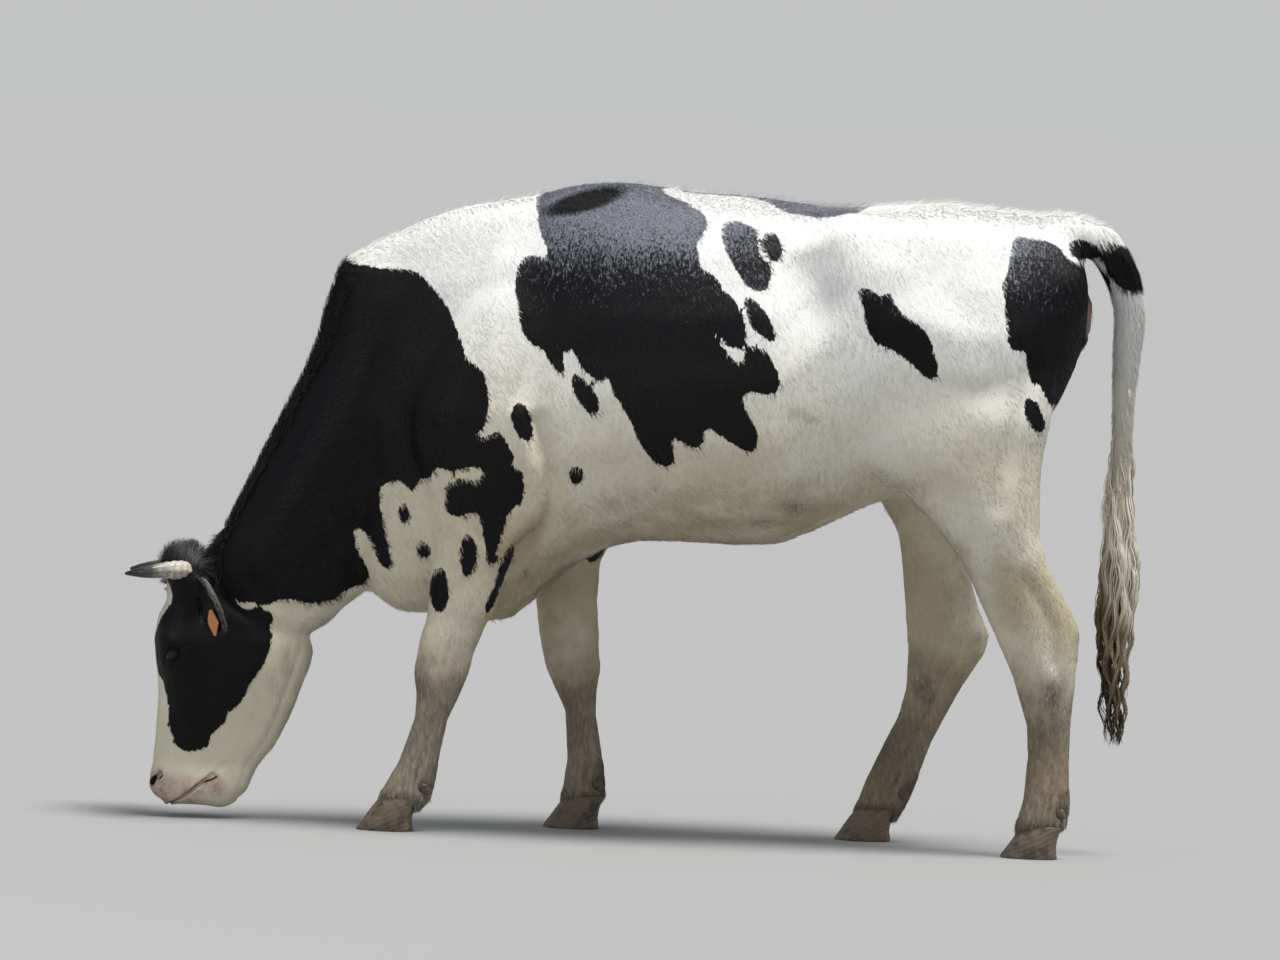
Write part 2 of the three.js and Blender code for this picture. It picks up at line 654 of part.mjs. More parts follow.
const trunk = shapedBy(sectioned(TRUNK, alongBody, { spacing: 92, around: 18 }), TRUNK_RISES);
const neck = shapedBy(sectioned(NECK, upright, { spacing: 96, around: 14 }), NECK_RISES);
const head = shapedBy(sectioned(HEAD, upright, { spacing: 40, around: 18 }), HEAD_RISES);
const udder = sectioned(UDDER, alongBody, { spacing: 60, around: 10 });
const dock = taperedBar(
  TAIL_LINE.map((p) => p.at),
  TAIL_LINE.map((p) => p.radius),
  { steps: 17, around: 8 },
);

const feet = Object.keys(LEGS).flatMap((name) => [...footClaws(name), ...dewclaws(name)]);
const footRoom = Object.keys(LEGS).flatMap((name) => [
  ...footClaws(name, GAP), ...dewclaws(name, GAP),
]);

function wholeHide() {
  const skins = [trunk, neck, head, udder, dock].map((g) => solidOf(g));
  const grown = joined([...skins, ...Object.values(LEGS).map(legSolid)]);
  const shod = footRoom.reduce((all, { solid }) => all.subtract(solid), grown);
  return Object.values(SIDES).reduce(
    (all, side) => all.subtract(ball([EYE.x, side * EYE.y, EYE.z], EYE.radius + GAP)),
    shod,
  );
}

// ---------------------------------------------------------------- parting it into nodes

const COLOURS = {
  white_coat: { color: 0xe4dfd0, roughness: 0.75 },
  black_coat: { color: 0x14151a, roughness: 0.6 },
  dirty_leg: { color: 0xa39683, roughness: 0.8 },
  tail_hair: { color: 0x6a5a48, roughness: 0.8 },
  nose: { color: 0xc8a79a, roughness: 0.4 },
  horn: { color: 0xa9a69a, roughness: 0.35 },
  hoof: { color: 0x3b332b, roughness: 0.55 },
  eye: { color: 0x0c0a09, roughness: 0.05 },
  ear_tag: { color: 0xd98a3a, roughness: 0.45 },
};

function meshOf(name, solid, colour) {
  const [body] = solid.decompose().sort((a, b) => b.volume() - a.volume());
  const mesh = new THREE.Mesh(geometryOf(body), new THREE.MeshStandardMaterial(COLOURS[colour]));
  mesh.name = name;
  return mesh;
}

// The two sides of a cut: what the plane's normal points to, and the rest.
const parted = (solid, { point, normal }) => [
  beyond(solid, point, normal),
  behind(solid, point, normal),
];

// The space a leg takes: inside its outline, outside its leaning plane and on its own side.
function legSpace({ side, outline, parting: { y, z, lean } }, less = 0) {
  const middle = [0, side * (less - GAP), 0];
  const edge = [0, side * (y + less), z];
  const prism = sidePrism(inset(outline, less));
  return beyond(beyond(prism, edge, [0, side, -lean]), middle, [0, side, 0]);
}

const CUTS = {
  neck: { point: [-590, 0, 780], normal: [-0.94, 0, 0.05] },
  poll: { point: [-800, 0, 490], normal: [-0.62, 0, -0.78] },
  muzzle: { point: [-1000, 0, 112], normal: [0.1, 0, -1] },
  chest: { point: [-40, 0, 0], normal: [-1, 0, 0] },
  rump: { point: [430, 0, 0], normal: [-1, 0, 0] },
  dock: { point: [0, 0, 1185], normal: [0, 0, -1] },
  switch: { point: [0, 0, 770], normal: [0, 0, -1] },
};

function legMeshes(hide, name) {
  const leg = LEGS[name];
  const [upper, lower] = parted(hide.intersect(legSpace(leg, GAP)), {
    point: [0, 0, leg.joint],
    normal: [0, 0, 1],
  });
  return [
    meshOf(`${name}_upper`, upper, "white_coat"),
    meshOf(`${name}_lower`, lower, "dirty_leg"),
  ];
}

function trunkMeshes(body) {
  const [fore, hind] = parted(body, CUTS.chest);
  const [forward, chest] = parted(fore, CUTS.neck);
  const [face, neckPart] = parted(forward, CUTS.poll);
  const [muzzle, skull] = parted(face, CUTS.muzzle);
  const [barrel, rump] = parted(hind, CUTS.rump);
  return [
    meshOf("muzzle", muzzle, "nose"),
    meshOf("head", skull, "black_coat"),
    meshOf("neck", neckPart, "black_coat"),
    meshOf("chest", chest, "white_coat"),
    meshOf("barrel", barrel, "black_coat"),
    meshOf("rump", rump, "white_coat"),
  ];
}

function tailMeshes(tail) {
  const [hanging, root] = parted(tail, CUTS.dock);
  return [
    meshOf("tail_root", root, "white_coat"),
    meshOf("tail_dock", behind(hanging, CUTS.switch.point, CUTS.switch.normal), "white_coat"),
    meshOf("tail_switch", beyond(
      solidOf(sectioned(SWITCH, upright, { spacing: 80, around: 8 })),
      CUTS.switch.point,
      CUTS.switch.normal,
    ), "tail_hair"),
  ];
}

// What grows out of the head is trimmed by it and stands off by the gap.
function standOff(solid, hide, towards) {
  const step = new THREE.Vector3(...towards).normalize().multiplyScalar(GAP);
  return solid.subtract(hide).translate(step.toArray());
}

function headPieces(hide) {
  return Object.entries(SIDES).flatMap(([which, side]) => {
    const ear = EARS[which];
    const leaf = standOff(solidOf(earLeaf().applyMatrix4(earFrame(ear))), hide, ear.tip);
    const eye = ball([EYE.x, side * EYE.y, EYE.z], EYE.radius);
    return [
      meshOf(`${which}_horn`, standOff(solidOf(horn(side)), hide, [-0.5, side * 0.9, 0]), "horn"),
      meshOf(`${which}_ear`, leaf.subtract(flagTag(ear, GAP)), "black_coat"),
      meshOf(`${which}_ear_tag`, flagTag(ear), "ear_tag"),
      meshOf(`${which}_eye`, eye, "eye"),
    ];
  });
}

function groupOf(meshes) {
  const group = new THREE.Group();
  group.add(...meshes);
  return group;
}

const hide = wholeHide();
const withoutLegs = Object.values(LEGS).reduce(
  (all, leg) => all.subtract(legSpace(leg)),
  hide,
);
const tail = withoutLegs.intersect(sidePrism(inset(TAIL_OUTLINE, GAP)));
const body = withoutLegs.subtract(sidePrism(TAIL_OUTLINE));

const cow = groupOf([
  groupOf(trunkMeshes(body)),
  groupOf(headPieces(hide)),
  groupOf(tailMeshes(tail)),
  ...Object.keys(LEGS).map((name) => groupOf(legMeshes(hide, name))),
  groupOf(feet.map(({ name, solid }) => meshOf(name, solid, "hoof"))),
]);

export default cow;
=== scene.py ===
# %% [markdown]
# # A grazing dairy heifer, life size
# A museum model of a young black-and-white cow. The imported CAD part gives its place, size and
# outline. This script dresses it: one closed skin, markings, short hair, horns, hooves, eyes,
# ear tags and the long hair of the tail. All lengths are in metres, and the cow faces -X.

# %% Load the frame
import math
import time
import bpy
import numpy as np
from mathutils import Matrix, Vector


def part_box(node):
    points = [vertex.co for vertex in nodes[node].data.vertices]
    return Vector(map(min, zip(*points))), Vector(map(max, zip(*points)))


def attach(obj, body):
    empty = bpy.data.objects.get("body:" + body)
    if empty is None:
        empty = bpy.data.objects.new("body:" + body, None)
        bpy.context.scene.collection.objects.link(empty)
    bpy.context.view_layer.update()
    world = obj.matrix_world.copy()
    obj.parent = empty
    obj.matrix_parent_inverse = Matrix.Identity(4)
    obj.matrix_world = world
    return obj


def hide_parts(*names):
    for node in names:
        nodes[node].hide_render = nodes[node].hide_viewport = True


started = time.time()
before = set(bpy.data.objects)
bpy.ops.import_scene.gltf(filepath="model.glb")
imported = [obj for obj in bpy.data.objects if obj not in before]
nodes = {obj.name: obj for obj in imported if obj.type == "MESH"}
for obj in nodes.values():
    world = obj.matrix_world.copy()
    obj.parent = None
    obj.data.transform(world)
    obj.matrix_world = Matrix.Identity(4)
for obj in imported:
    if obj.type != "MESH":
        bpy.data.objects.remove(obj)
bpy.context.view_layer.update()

# %% [markdown]
# ## Small helpers
# Blender's operators act on what is selected, so each step begins by clearing the selection.
# A mesh's points come out of Blender, and go back, as one table of numbers, which is quick even
# for a hundred thousand points.

# %% Selecting, editing, and reading a mesh as tables
def pick(*objects):
    """Select only these objects and make the first one active."""
    if bpy.context.object and bpy.context.object.mode != "OBJECT":
        bpy.ops.object.mode_set(mode="OBJECT")
    bpy.ops.object.select_all(action="DESELECT")
    for thing in objects:
        thing.select_set(True)
    bpy.context.view_layer.objects.active = objects[0]


def edit(*jobs):
    """Do some jobs in edit mode, with the whole of the active mesh selected."""
    bpy.ops.object.mode_set(mode="EDIT")
    bpy.ops.mesh.select_all(action="SELECT")
    for job in jobs:
        job()
    bpy.ops.object.mode_set(mode="OBJECT")


def face_outward():
    """Turn the selected faces to look outward."""
    bpy.ops.mesh.normals_make_consistent(inside=False)


def link(thing):
    """Put a new object into the scene."""
    bpy.context.scene.collection.objects.link(thing)
    return thing


def read(rows, what, width=3, kind=np.float32):
    """One property of every vertex, face or corner, as a table."""
    table = np.empty(len(rows) * width, kind)
    rows.foreach_get(what, table)
    return table.reshape(-1, width)


def points_of(mesh):
    """Every vertex of a mesh, as rows of x, y, z."""
    return read(mesh.vertices, "co").astype(float)


def normals_of(mesh):
    """The outward direction at every vertex."""
    return read(mesh.vertex_normals, "vector").astype(float)


def centres_of(mesh):
    """The middle of every face."""
    return read(mesh.polygons, "center").astype(float)


def put_points(mesh, table):
    """Write the vertices back."""
    mesh.vertices.foreach_set("co", table.astype(np.float32).ravel())
    mesh.update()


def with_modifier(thing, kind, **settings):
    """Add one modifier, set it and apply it."""
    pick(thing)
    modifier = thing.modifiers.new(kind.title(), kind)
    for name, value in settings.items():
        setattr(modifier, name, value)
    bpy.ops.object.modifier_apply(modifier=modifier.name)


def ease(value, low, high):
    """A smooth step from 0 below low to 1 above high."""
    share = np.clip((value - low) / (high - low), 0.0, 1.0)
    return share * share * (3.0 - 2.0 * share)


def bell(value, width):
    """1 at zero, fading smoothly away on both sides."""
    return np.exp(-(value / width) ** 2)


def near_point(table, centre, reach):
    """1 at a point in space, fading smoothly; reach is a radius, or one for each axis."""
    away = (table - np.array(centre, float)) / np.array(reach, float)
    return np.exp(-(away * away).sum(axis=1))


def say(what, thing):
    """Print how large a piece has become, and the time so far."""
    faces = sum(len(p.vertices) - 2 for p in thing.data.polygons)
    print(f"{what}: {faces} triangles, {time.time() - started:.0f} s")

# %% [markdown]
# ## One skin over the whole body
# The real hide has no seams, but the CAD body is parted into nodes. Copies of the flesh nodes
# are joined, swollen by a fraction of a millimetre so that the thin cuts close, and wrapped by a
# voxel remesh into one watertight skin. A Smooth modifier then rounds off the CAD facets.

# %% Join the flesh and remesh it
LEGS = [f"{pair}leg_{side}_{half}"
        for pair in ("fore", "hind") for side in ("left", "right") for half in ("upper", "lower")]
FLESH = ["barrel", "muzzle", "head", "neck", "chest", "rump", "left_ear", "right_ear",
         "tail_root", "tail_dock"] + LEGS
CUT_CLOSING = 0.0005
WELD = 0.00005
SKIN_VOXEL = 0.005


def copy_of(names, called):
    """One new object from copies of CAD nodes, with their loose triangles merged."""
    copies = []
    for name in names:
        twin = nodes[name].copy()
        twin.data = nodes[name].data.copy()
        twin.parent = None
        for key in list(twin.keys()):
            del twin[key]
        copies.append(link(twin))
    pick(*copies)
    if len(copies) > 1:
        bpy.ops.object.join()
    whole = bpy.context.object
    whole.name = whole.data.name = called
    whole.data.materials.clear()
    edit(lambda: bpy.ops.mesh.remove_doubles(threshold=WELD), face_outward)
    return whole


skin = copy_of(FLESH + ["left_eye", "right_eye"], "skin")
edit(lambda: bpy.ops.transform.shrink_fatten(value=CUT_CLOSING))
with_modifier(skin, "REMESH", mode="VOXEL", voxel_size=SKIN_VOXEL)
say("skin after the remesh", skin)

# %% [markdown]
# The remesh leaves a fine, even grid and still shows the flat CAD facets. A Smooth modifier
# takes them away. A vertex group holds it back where the body is thin or finely shaped: strongly
# on the trunk, less on the legs and head, and hardly at all on the ears.

# %% Smooth the facets away
HEAD_BACK, HEAD_TOP, HEAD_BLEND = -0.74, 0.60, 0.06
LEG_TOP = (0.42, 0.66)
EAR_BOXES = [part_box("left_ear"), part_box("right_ear")]
EAR_ROOT = 0.088
SMOOTH_ROUNDS = 90


def near_box(table, corners, reach):
    """How far each point is inside a box grown by reach, from 0 outside to 1 in the box."""
    low, high = np.array(corners[0]), np.array(corners[1])
    gap = np.maximum(np.maximum(low - table, table - high), 0.0)
    return 1.0 - ease(np.linalg.norm(gap, axis=1), 0.0, reach)


def head_share(table):
    """1 on the head, 0 on the neck and body."""
    front = 1.0 - ease(table[:, 0], HEAD_BACK - HEAD_BLEND, HEAD_BACK + HEAD_BLEND)
    return front * (1.0 - ease(table[:, 2], HEAD_TOP, HEAD_TOP + HEAD_BLEND))


def leg_share(table):
    """1 on the legs below the elbow and stifle, 0 on the trunk and head."""
    low = 1.0 - ease(table[:, 2], *LEG_TOP)
    return low * ease(table[:, 0], -0.66, -0.62)


def ear_share(table):
    """1 on the thin leaf of each ear, 0 elsewhere."""
    share = np.zeros(len(table))
    for corners in EAR_BOXES:
        share = np.maximum(share, near_box(table, corners, 0.012))
    return share * (np.abs(table[:, 1]) > EAR_ROOT)


def set_group(thing, name, values):
    """Store one number per vertex as a vertex group that modifiers can read."""
    group = thing.vertex_groups.new(name=name)
    steps = np.round(values, 2)
    for level in np.unique(steps):
        members = np.nonzero(steps == level)[0]
        group.add(members.tolist(), float(level), "REPLACE")


def smooth_where(thing, name, values, rounds):
    """Smooth a mesh where a new vertex group says so."""
    set_group(thing, name, values)
    with_modifier(thing, "SMOOTH", factor=0.5, iterations=rounds, vertex_group=name)


table = points_of(skin.data)
softness = 1.0 - 0.88 * head_share(table) * (1.0 - ear_share(table))
softness *= 1.0 - 0.80 * leg_share(table)
# The cut between a leg's two lengths needs more smoothing than the leg round it
for name in LEGS:
    if name.endswith("upper"):
        low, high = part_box(name)
        beside = near_box(table, (low, (high[0], high[1], low[2])), 0.045)
        softness = np.maximum(softness, 0.75 * beside)
softness *= 1.0 - 0.85 * ease(table[:, 0], 0.93, 0.98)
softness *= 1.0 - 0.45 * ear_share(table)
smooth_where(skin, "soft", softness, SMOOTH_ROUNDS)
say("smoothed skin", skin)

# %% [markdown]
# ## The forms under the hide
# Bones and muscles are worked into the smooth skin as a sculptor would: each stroke raises or
# sinks the surface along its own outward direction, and fades away from the stroke's line. The
# lines are given in the side view, as (x, z), and most are made on both sides of the cow.

# %% Strokes of the sculpting tool
def gap_to(table, spots):
    """Distance from every point to a line through these spots."""
    nearest = np.full(len(table), np.inf)
    for start, end in zip(spots[:-1], spots[1:]):
        along = end - start
        share = np.clip(((table - start) @ along) / max(along @ along, 1e-12), 0.0, 1.0)
        gap = np.linalg.norm(table - (start + share[:, None] * along), axis=1)
        nearest = np.minimum(nearest, gap)
    return nearest


def stroke(table, out, line, width, height):
    """Raise the skin along a line drawn in the side view, on both sides of the cow."""
    lift = height * bell(gap_to(table[:, (0, 2)], np.array(line, float)), width)
    lift *= ease(np.abs(out[:, 1]), 0.15, 0.55)
    table += out * lift[:, None]


def dab(table, out, centre, reach, height, both=True):
    """Raise the skin round a point in space; reach is a radius, or one for each axis."""
    for sign in ((-1, 1) if both else (1,)):
        lift = height * near_point(table, np.array(centre) * (1, sign, 1), reach)
        table += out * lift[:, None]


def surface():
    """The skin's points and outward directions as they are now."""
    return points_of(skin.data), normals_of(skin.data)


# %% Trunk and neck: blade, ribs, hips, folds
RIB_COUNT = 8
table, out = surface()
# The ridge of the shoulder blade, and the hollow behind it
stroke(table, out, [(-0.300, 1.230), (-0.370, 1.050), (-0.440, 0.900)], 0.022, 0.006)
stroke(table, out, [(-0.205, 1.160), (-0.225, 0.980), (-0.200, 0.840)], 0.035, -0.007)
# The long muscle above the elbow stands out from the chest, with a furrow behind it
ELBOW = np.array([(-0.235, 0.900), (-0.208, 0.800), (-0.196, 0.730), (-0.206, 0.672),
                  (-0.255, 0.624)])
stroke(table, out, ELBOW - (0.026, 0.0), 0.026, 0.011)
stroke(table, out, ELBOW + (0.013, -0.004), 0.017, -0.017)
stroke(table, out, [(-0.330, 0.640), (-0.400, 0.700), (-0.440, 0.790)], 0.018, -0.004)
# The groove in front of the shoulder, and folds of the neck
stroke(table, out, [(-0.560, 1.020), (-0.590, 0.880), (-0.560, 0.740)], 0.022, -0.006)
stroke(table, out, [(-0.560, 0.700), (-0.620, 0.640), (-0.700, 0.560)], 0.016, -0.004)
# The brisket hangs between the forelegs, behind a notch at the end of the neck
dab(table, out, (-0.486, 0.000, 0.515), (0.050, 0.070, 0.055), 0.018, both=False)
dab(table, out, (-0.560, 0.000, 0.525), (0.022, 0.050, 0.040), -0.009, both=False)
# Ribs show faintly through the hide
for rib in range(RIB_COUNT):
    top_x = -0.130 + 0.052 * rib
    stroke(table, out, [(top_x, 1.190), (top_x - 0.020, 1.020), (top_x - 0.075, 0.850)],
           0.013, -0.0005)
# The hollow of the flank, the hook bone, the thigh and its tendons
stroke(table, out, [(0.300, 1.235), (0.350, 1.160)], 0.060, -0.010)
dab(table, out, (0.418, 0.225, 1.306), 0.050, 0.007)
stroke(table, out, [(0.400, 1.230), (0.440, 1.050), (0.420, 0.900)], 0.030, 0.004)
stroke(table, out, [(0.840, 1.050), (0.800, 0.900), (0.780, 0.760)], 0.026, -0.007)
stroke(table, out, [(0.620, 1.230), (0.720, 1.130), (0.760, 1.000)], 0.045, -0.006)
dab(table, out, (0.930, 0.110, 1.235), (0.035, 0.040, 0.040), 0.006)
put_points(skin.data, table)

# %% Legs: tendons stand apart from the bones
SLICE = 0.01
SLICES = (6, 66)
# Furrows of each pair of legs: place from front to back, width, depth, lowest and highest point
FURROWS = {
    "fore": [(0.60, 0.08, 0.0040, 0.13, 0.27), (0.55, 0.07, 0.0028, 0.36, 0.52)],
    "hind": [(0.60, 0.08, 0.0040, 0.13, 0.27), (0.68, 0.09, 0.0075, 0.43, 0.57),
             (0.58, 0.08, 0.0040, 0.27, 0.33)],
}


def across_leg(table, inside):
    """Where each point lies from the front edge (0) to the back edge (1) of its leg."""
    level = (table[:, 2] / SLICE).astype(int)
    edges = []
    for step in range(*SLICES):
        row = table[inside & (level == step), 0]
        if len(row):
            edges.append(((step + 0.5) * SLICE, row.min(), row.max()))
    heights, fore, aft = np.array(edges).T
    start, end = np.interp(table[:, 2], heights, fore), np.interp(table[:, 2], heights, aft)
    return (table[:, 0] - start) / np.maximum(end - start, 0.01)


def between(height, low, high, soft=0.06):
    """1 between two heights, fading out at both."""
    return ease(height, low - soft, low) * (1 - ease(height, high, high + soft))


table, out = surface()
flank = ease(np.abs(out[:, 1]), 0.25, 0.65)
for pair, low_x, high_x in (("fore", -0.62, 0.10), ("hind", 0.40, 1.00)):
    for sign in (-1, 1):
        inside = (table[:, 0] > low_x) & (table[:, 0] < high_x) & (table[:, 1] * sign > 0)
        inside &= table[:, 2] < 0.64
        spot = across_leg(table, inside)
        lift = 0.0
        for middle, width, deep, low, high in FURROWS[pair]:
            lift = lift - deep * bell(spot - middle, width) * between(table[:, 2], low, high)
        table += out * (lift * flank * inside)[:, None]
put_points(skin.data, table)

# %% [markdown]
# The flat sides need far fewer faces than the head. Decimate collapses the shortest edges first,
# weighed by a second vertex group, so the head keeps its fine grid and the trunk gets an even
# coarser one. The faces round the eyes, nostrils and lips are then split, ready for their folds.

# %% Spend the faces where the detail is
SKIN_RATIO = 0.25
EYE_RADIUS = 0.0195
EYES = {side: (Vector(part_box(f"{side}_eye")[0]) + Vector(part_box(f"{side}_eye")[1])) / 2
        for side in ("left", "right")}
table = points_of(skin.data)
fine = np.maximum(head_share(table), ear_share(table))
coarse = np.clip(0.72 - 0.17 * leg_share(table) - 0.72 * fine, 0.0, 1.0)
set_group(skin, "coarse", coarse)
with_modifier(skin, "DECIMATE", ratio=SKIN_RATIO, vertex_group="coarse",
              vertex_group_factor=1.0)
# The CAD facets leave a shelf between flank and thigh, which more smoothing takes away
SHELF_CENTRE, SHELF_REACH, SHELF_ROUNDS = (0.500, 0.930), (0.240, 0.150), 90
table = points_of(skin.data)
away = np.linalg.norm((table[:, (0, 2)] - SHELF_CENTRE) / SHELF_REACH, axis=1)
smooth_where(skin, "shelf", (1.0 - ease(away, 0.55, 1.0)) * (np.abs(table[:, 1]) > 0.10),
             SHELF_ROUNDS)
# The cut between the two lengths of the left foreleg leaves a faint ridge
CUT_X, CUT_Z, CUT_SLOPE, CUT_WIDTH, CUT_ROUNDS = -0.375, 0.449, -0.10, 0.022, 60
table = points_of(skin.data)
ahead = table[:, 0] - CUT_X
seam = bell(table[:, 2] - CUT_Z - CUT_SLOPE * ahead, CUT_WIDTH) * (np.abs(ahead) < 0.12)
smooth_where(skin, "seam", seam * (table[:, 1] < 0), CUT_ROUNDS)
say("after the decimation", skin)


def to_eyes(places):
    """Distance from every place to the middle of the nearer eye."""
    return np.min([np.linalg.norm(places - np.array(eye), axis=1) for eye in EYES.values()],
                  axis=0)


def split_faces(thing, wanted):
    """Subdivide the chosen faces once."""
    pick(thing)
    mesh = thing.data
    bpy.ops.object.mode_set(mode="EDIT")
    bpy.ops.mesh.select_mode(type="FACE")
    bpy.ops.mesh.select_all(action="DESELECT")
    bpy.ops.object.mode_set(mode="OBJECT")
    mesh.polygons.foreach_set("select", wanted)
    bpy.ops.object.mode_set(mode="EDIT")
    bpy.ops.mesh.subdivide(number_cuts=1)
    bpy.ops.mesh.quads_convert_to_tris()
    bpy.ops.object.mode_set(mode="OBJECT")


for reach in (0.036, 0.028):
    split_faces(skin, to_eyes(centres_of(skin.data)) < reach)
centres = centres_of(skin.data)
split_faces(skin, (centres[:, 2] < 0.115) & (centres[:, 0] < HEAD_BACK))
UNDER_TAIL = np.array((0.925, 0.0, 1.180))
for reach in (0.110, 0.085):
    away = (centres_of(skin.data) - UNDER_TAIL) / (1.0, 0.5, 1.0)
    split_faces(skin, np.linalg.norm(away, axis=1) < reach)
say("skin with a fine face", skin)

# %% [markdown]
# ## The face
# The head gets the finest strokes. Here the lines run in space, because the muzzle curves round
# to the front. Creases are narrow and sink the skin; ridges and swellings raise it.

# %% Creases drawn in space
CREASE_STEP = 0.008


def laid_on(table, line):
    """The points of a line, set close together and moved to the nearest places on the skin."""
    spots = [np.array(line[0], float)]
    for start, end in zip(np.array(line[:-1], float), np.array(line[1:], float)):
        count = max(1, int(np.linalg.norm(end - start) / CREASE_STEP))
        spots += [start + (end - start) * (k + 1) / count for k in range(count)]
    laid = np.array([table[np.argmin(((table - spot) ** 2).sum(axis=1))] for spot in spots])
    for _ in range(3):
        laid[1:-1] = (laid[:-2] + 2 * laid[1:-1] + laid[2:]) / 4
    return laid


def near_line(table, line, both=True):
    """Distance to a line laid on the skin, on either side of the body."""
    nearest = np.full(len(table), 1.0)
    for sign in ((-1, 1) if both else (1,)):
        spots = laid_on(table, np.array(line, float) * (1, sign, 1))
        nearest = np.minimum(nearest, gap_to(table, spots))
    return nearest


def crease(table, out, line, width, height, both=True):
    """Raise or sink the skin along a line in space, given on one side and mirrored."""
    low, high = np.min(line, axis=0) - 0.07, np.max(line, axis=0) + 0.07
    for sign in ((-1, 1) if both else (1,)):
        mirrored = table * (1, sign, 1)
        face = np.nonzero(((mirrored > low) & (mirrored < high)).all(axis=1))[0]
        skin_part = table[face]
        spots = laid_on(skin_part, np.array(line, float) * (1, sign, 1))
        lift = height * bell(gap_to(skin_part, spots), width)
        table[face] += out[face] * lift[:, None]


table, out = surface()
# Brow and the bony rim of the eye socket
dab(table, out, (-0.992, 0.088, 0.384), (0.022, 0.030, 0.016), 0.006)
dab(table, out, (-0.952, 0.100, 0.372), (0.016, 0.030, 0.020), 0.005)
dab(table, out, (-0.975, 0.095, 0.318), (0.026, 0.030, 0.013), 0.003)
# The hollow of the temple, between eye, horn and ear
dab(table, out, (-0.930, 0.095, 0.440), (0.028, 0.035, 0.045), -0.007)
# The cheek: chewing muscle, its front and lower edges, and the crest of the upper jaw
dab(table, out, (-0.850, 0.085, 0.300), (0.055, 0.040, 0.080), 0.007)
crease(table, out, [(-0.925, 0.085, 0.330), (-0.915, 0.080, 0.250), (-0.880, 0.070, 0.190)],
       0.012, -0.0035)
crease(table, out, [(-0.975, 0.085, 0.290), (-0.960, 0.075, 0.225), (-0.935, 0.066, 0.170)],
       0.012, 0.0035)
# The lower edge of the jaw, and the loose skin between the two jaws
crease(table, out, [(-0.678, 0.075, 0.412), (-0.720, 0.062, 0.300), (-0.769, 0.050, 0.169),
                    (-0.820, 0.040, 0.110)], 0.008, -0.0016)
crease(table, out, [(-0.705, 0.085, 0.412), (-0.745, 0.075, 0.300), (-0.790, 0.060, 0.175)],
       0.018, 0.0010)
# The throat, where the head joins the neck
crease(table, out, [(-0.820, 0.110, 0.520), (-0.760, 0.110, 0.470), (-0.690, 0.080, 0.450)],
       0.016, -0.006)
# Straight nose bone with shallow sides
crease(table, out, [(-1.010, 0.052, 0.290), (-1.005, 0.050, 0.190), (-1.000, 0.052, 0.140)],
       0.016, -0.003)
put_points(skin.data, table)

# %% Muzzle: nostrils, lips and chin
NOSTRIL = [(-1.006, 0.062, 0.094), (-1.016, 0.053, 0.080), (-1.022, 0.040, 0.066),
           (-1.022, 0.030, 0.062)]
MOUTH = [(-0.982, 0.000, 0.028), (-0.978, 0.030, 0.030), (-0.960, 0.056, 0.040),
         (-0.930, 0.066, 0.062), (-0.905, 0.068, 0.082), (-0.885, 0.066, 0.096)]
centres = centres_of(skin.data)
split_faces(skin, np.minimum(near_line(centres, MOUTH), near_line(centres, NOSTRIL)) < 0.010)
table, out = surface()
dab(table, out, (-0.825, 0.000, 0.035), (0.030, 0.060, 0.022), -0.008)
dab(table, out, (-0.870, 0.000, 0.040), (0.028, 0.030, 0.020), 0.004)
crease(table, out, NOSTRIL, 0.016, 0.0050)
crease(table, out, [(-0.998, 0.062, 0.060), (-0.985, 0.066, 0.085)], 0.014, 0.0035)
crease(table, out, MOUTH, 0.013, 0.0040)
crease(table, out, [(-0.890, 0.068, 0.090), (-0.868, 0.062, 0.115)], 0.009, -0.0035)
crease(table, out, [(-1.022, 0.000, 0.108), (-1.025, 0.000, 0.070), (-1.010, 0.000, 0.040)],
       0.005, -0.0022, both=False)
put_points(skin.data, table)
out = normals_of(skin.data)
crease(table, out, NOSTRIL, 0.0085, -0.0060)
crease(table, out, MOUTH, 0.0050, -0.0050)
put_points(skin.data, table)
out = normals_of(skin.data)
crease(table, out, NOSTRIL[:3], 0.0060, -0.0120)
crease(table, out, MOUTH, 0.0028, -0.0050)
put_points(skin.data, table)
say("face sculpted", skin)

# %% [markdown]
# The lids are two thin folds that lie on the eyeball, with an almond opening between them. So
# near each eye the skin is laid on a sphere a little larger than the ball, and inside the
# almond it drops behind the ball.

# %% Eyelids
LID = 0.0022
SLIT_HALF, SLIT_TILT = 0.0175, math.radians(33)
UPPER_ARCH, LOWER_ARCH = 0.0105, 0.0085
# The thick rim of the lids and the fold beyond it: distance from the slit, width, height
RIM, FOLD = (-0.0016, 0.0014, 0.0012), (-0.0085, 0.0018, -0.0016)
BEHIND_BALL = 0.004


def eye_axes(side):
    """Directions of an eye: out of the head, along the slit to the rear, and up to the brow."""
    outward = np.array((-0.34, -0.93 if side == "left" else 0.93, 0.10))
    outward /= np.linalg.norm(outward)
    along = np.array((math.cos(SLIT_TILT), 0.0, math.sin(SLIT_TILT)))
    along -= outward * (along @ outward)
    along /= np.linalg.norm(along)
    brow = np.cross(outward, along)
    return outward, along, brow * (1 if brow[2] > 0 else -1)


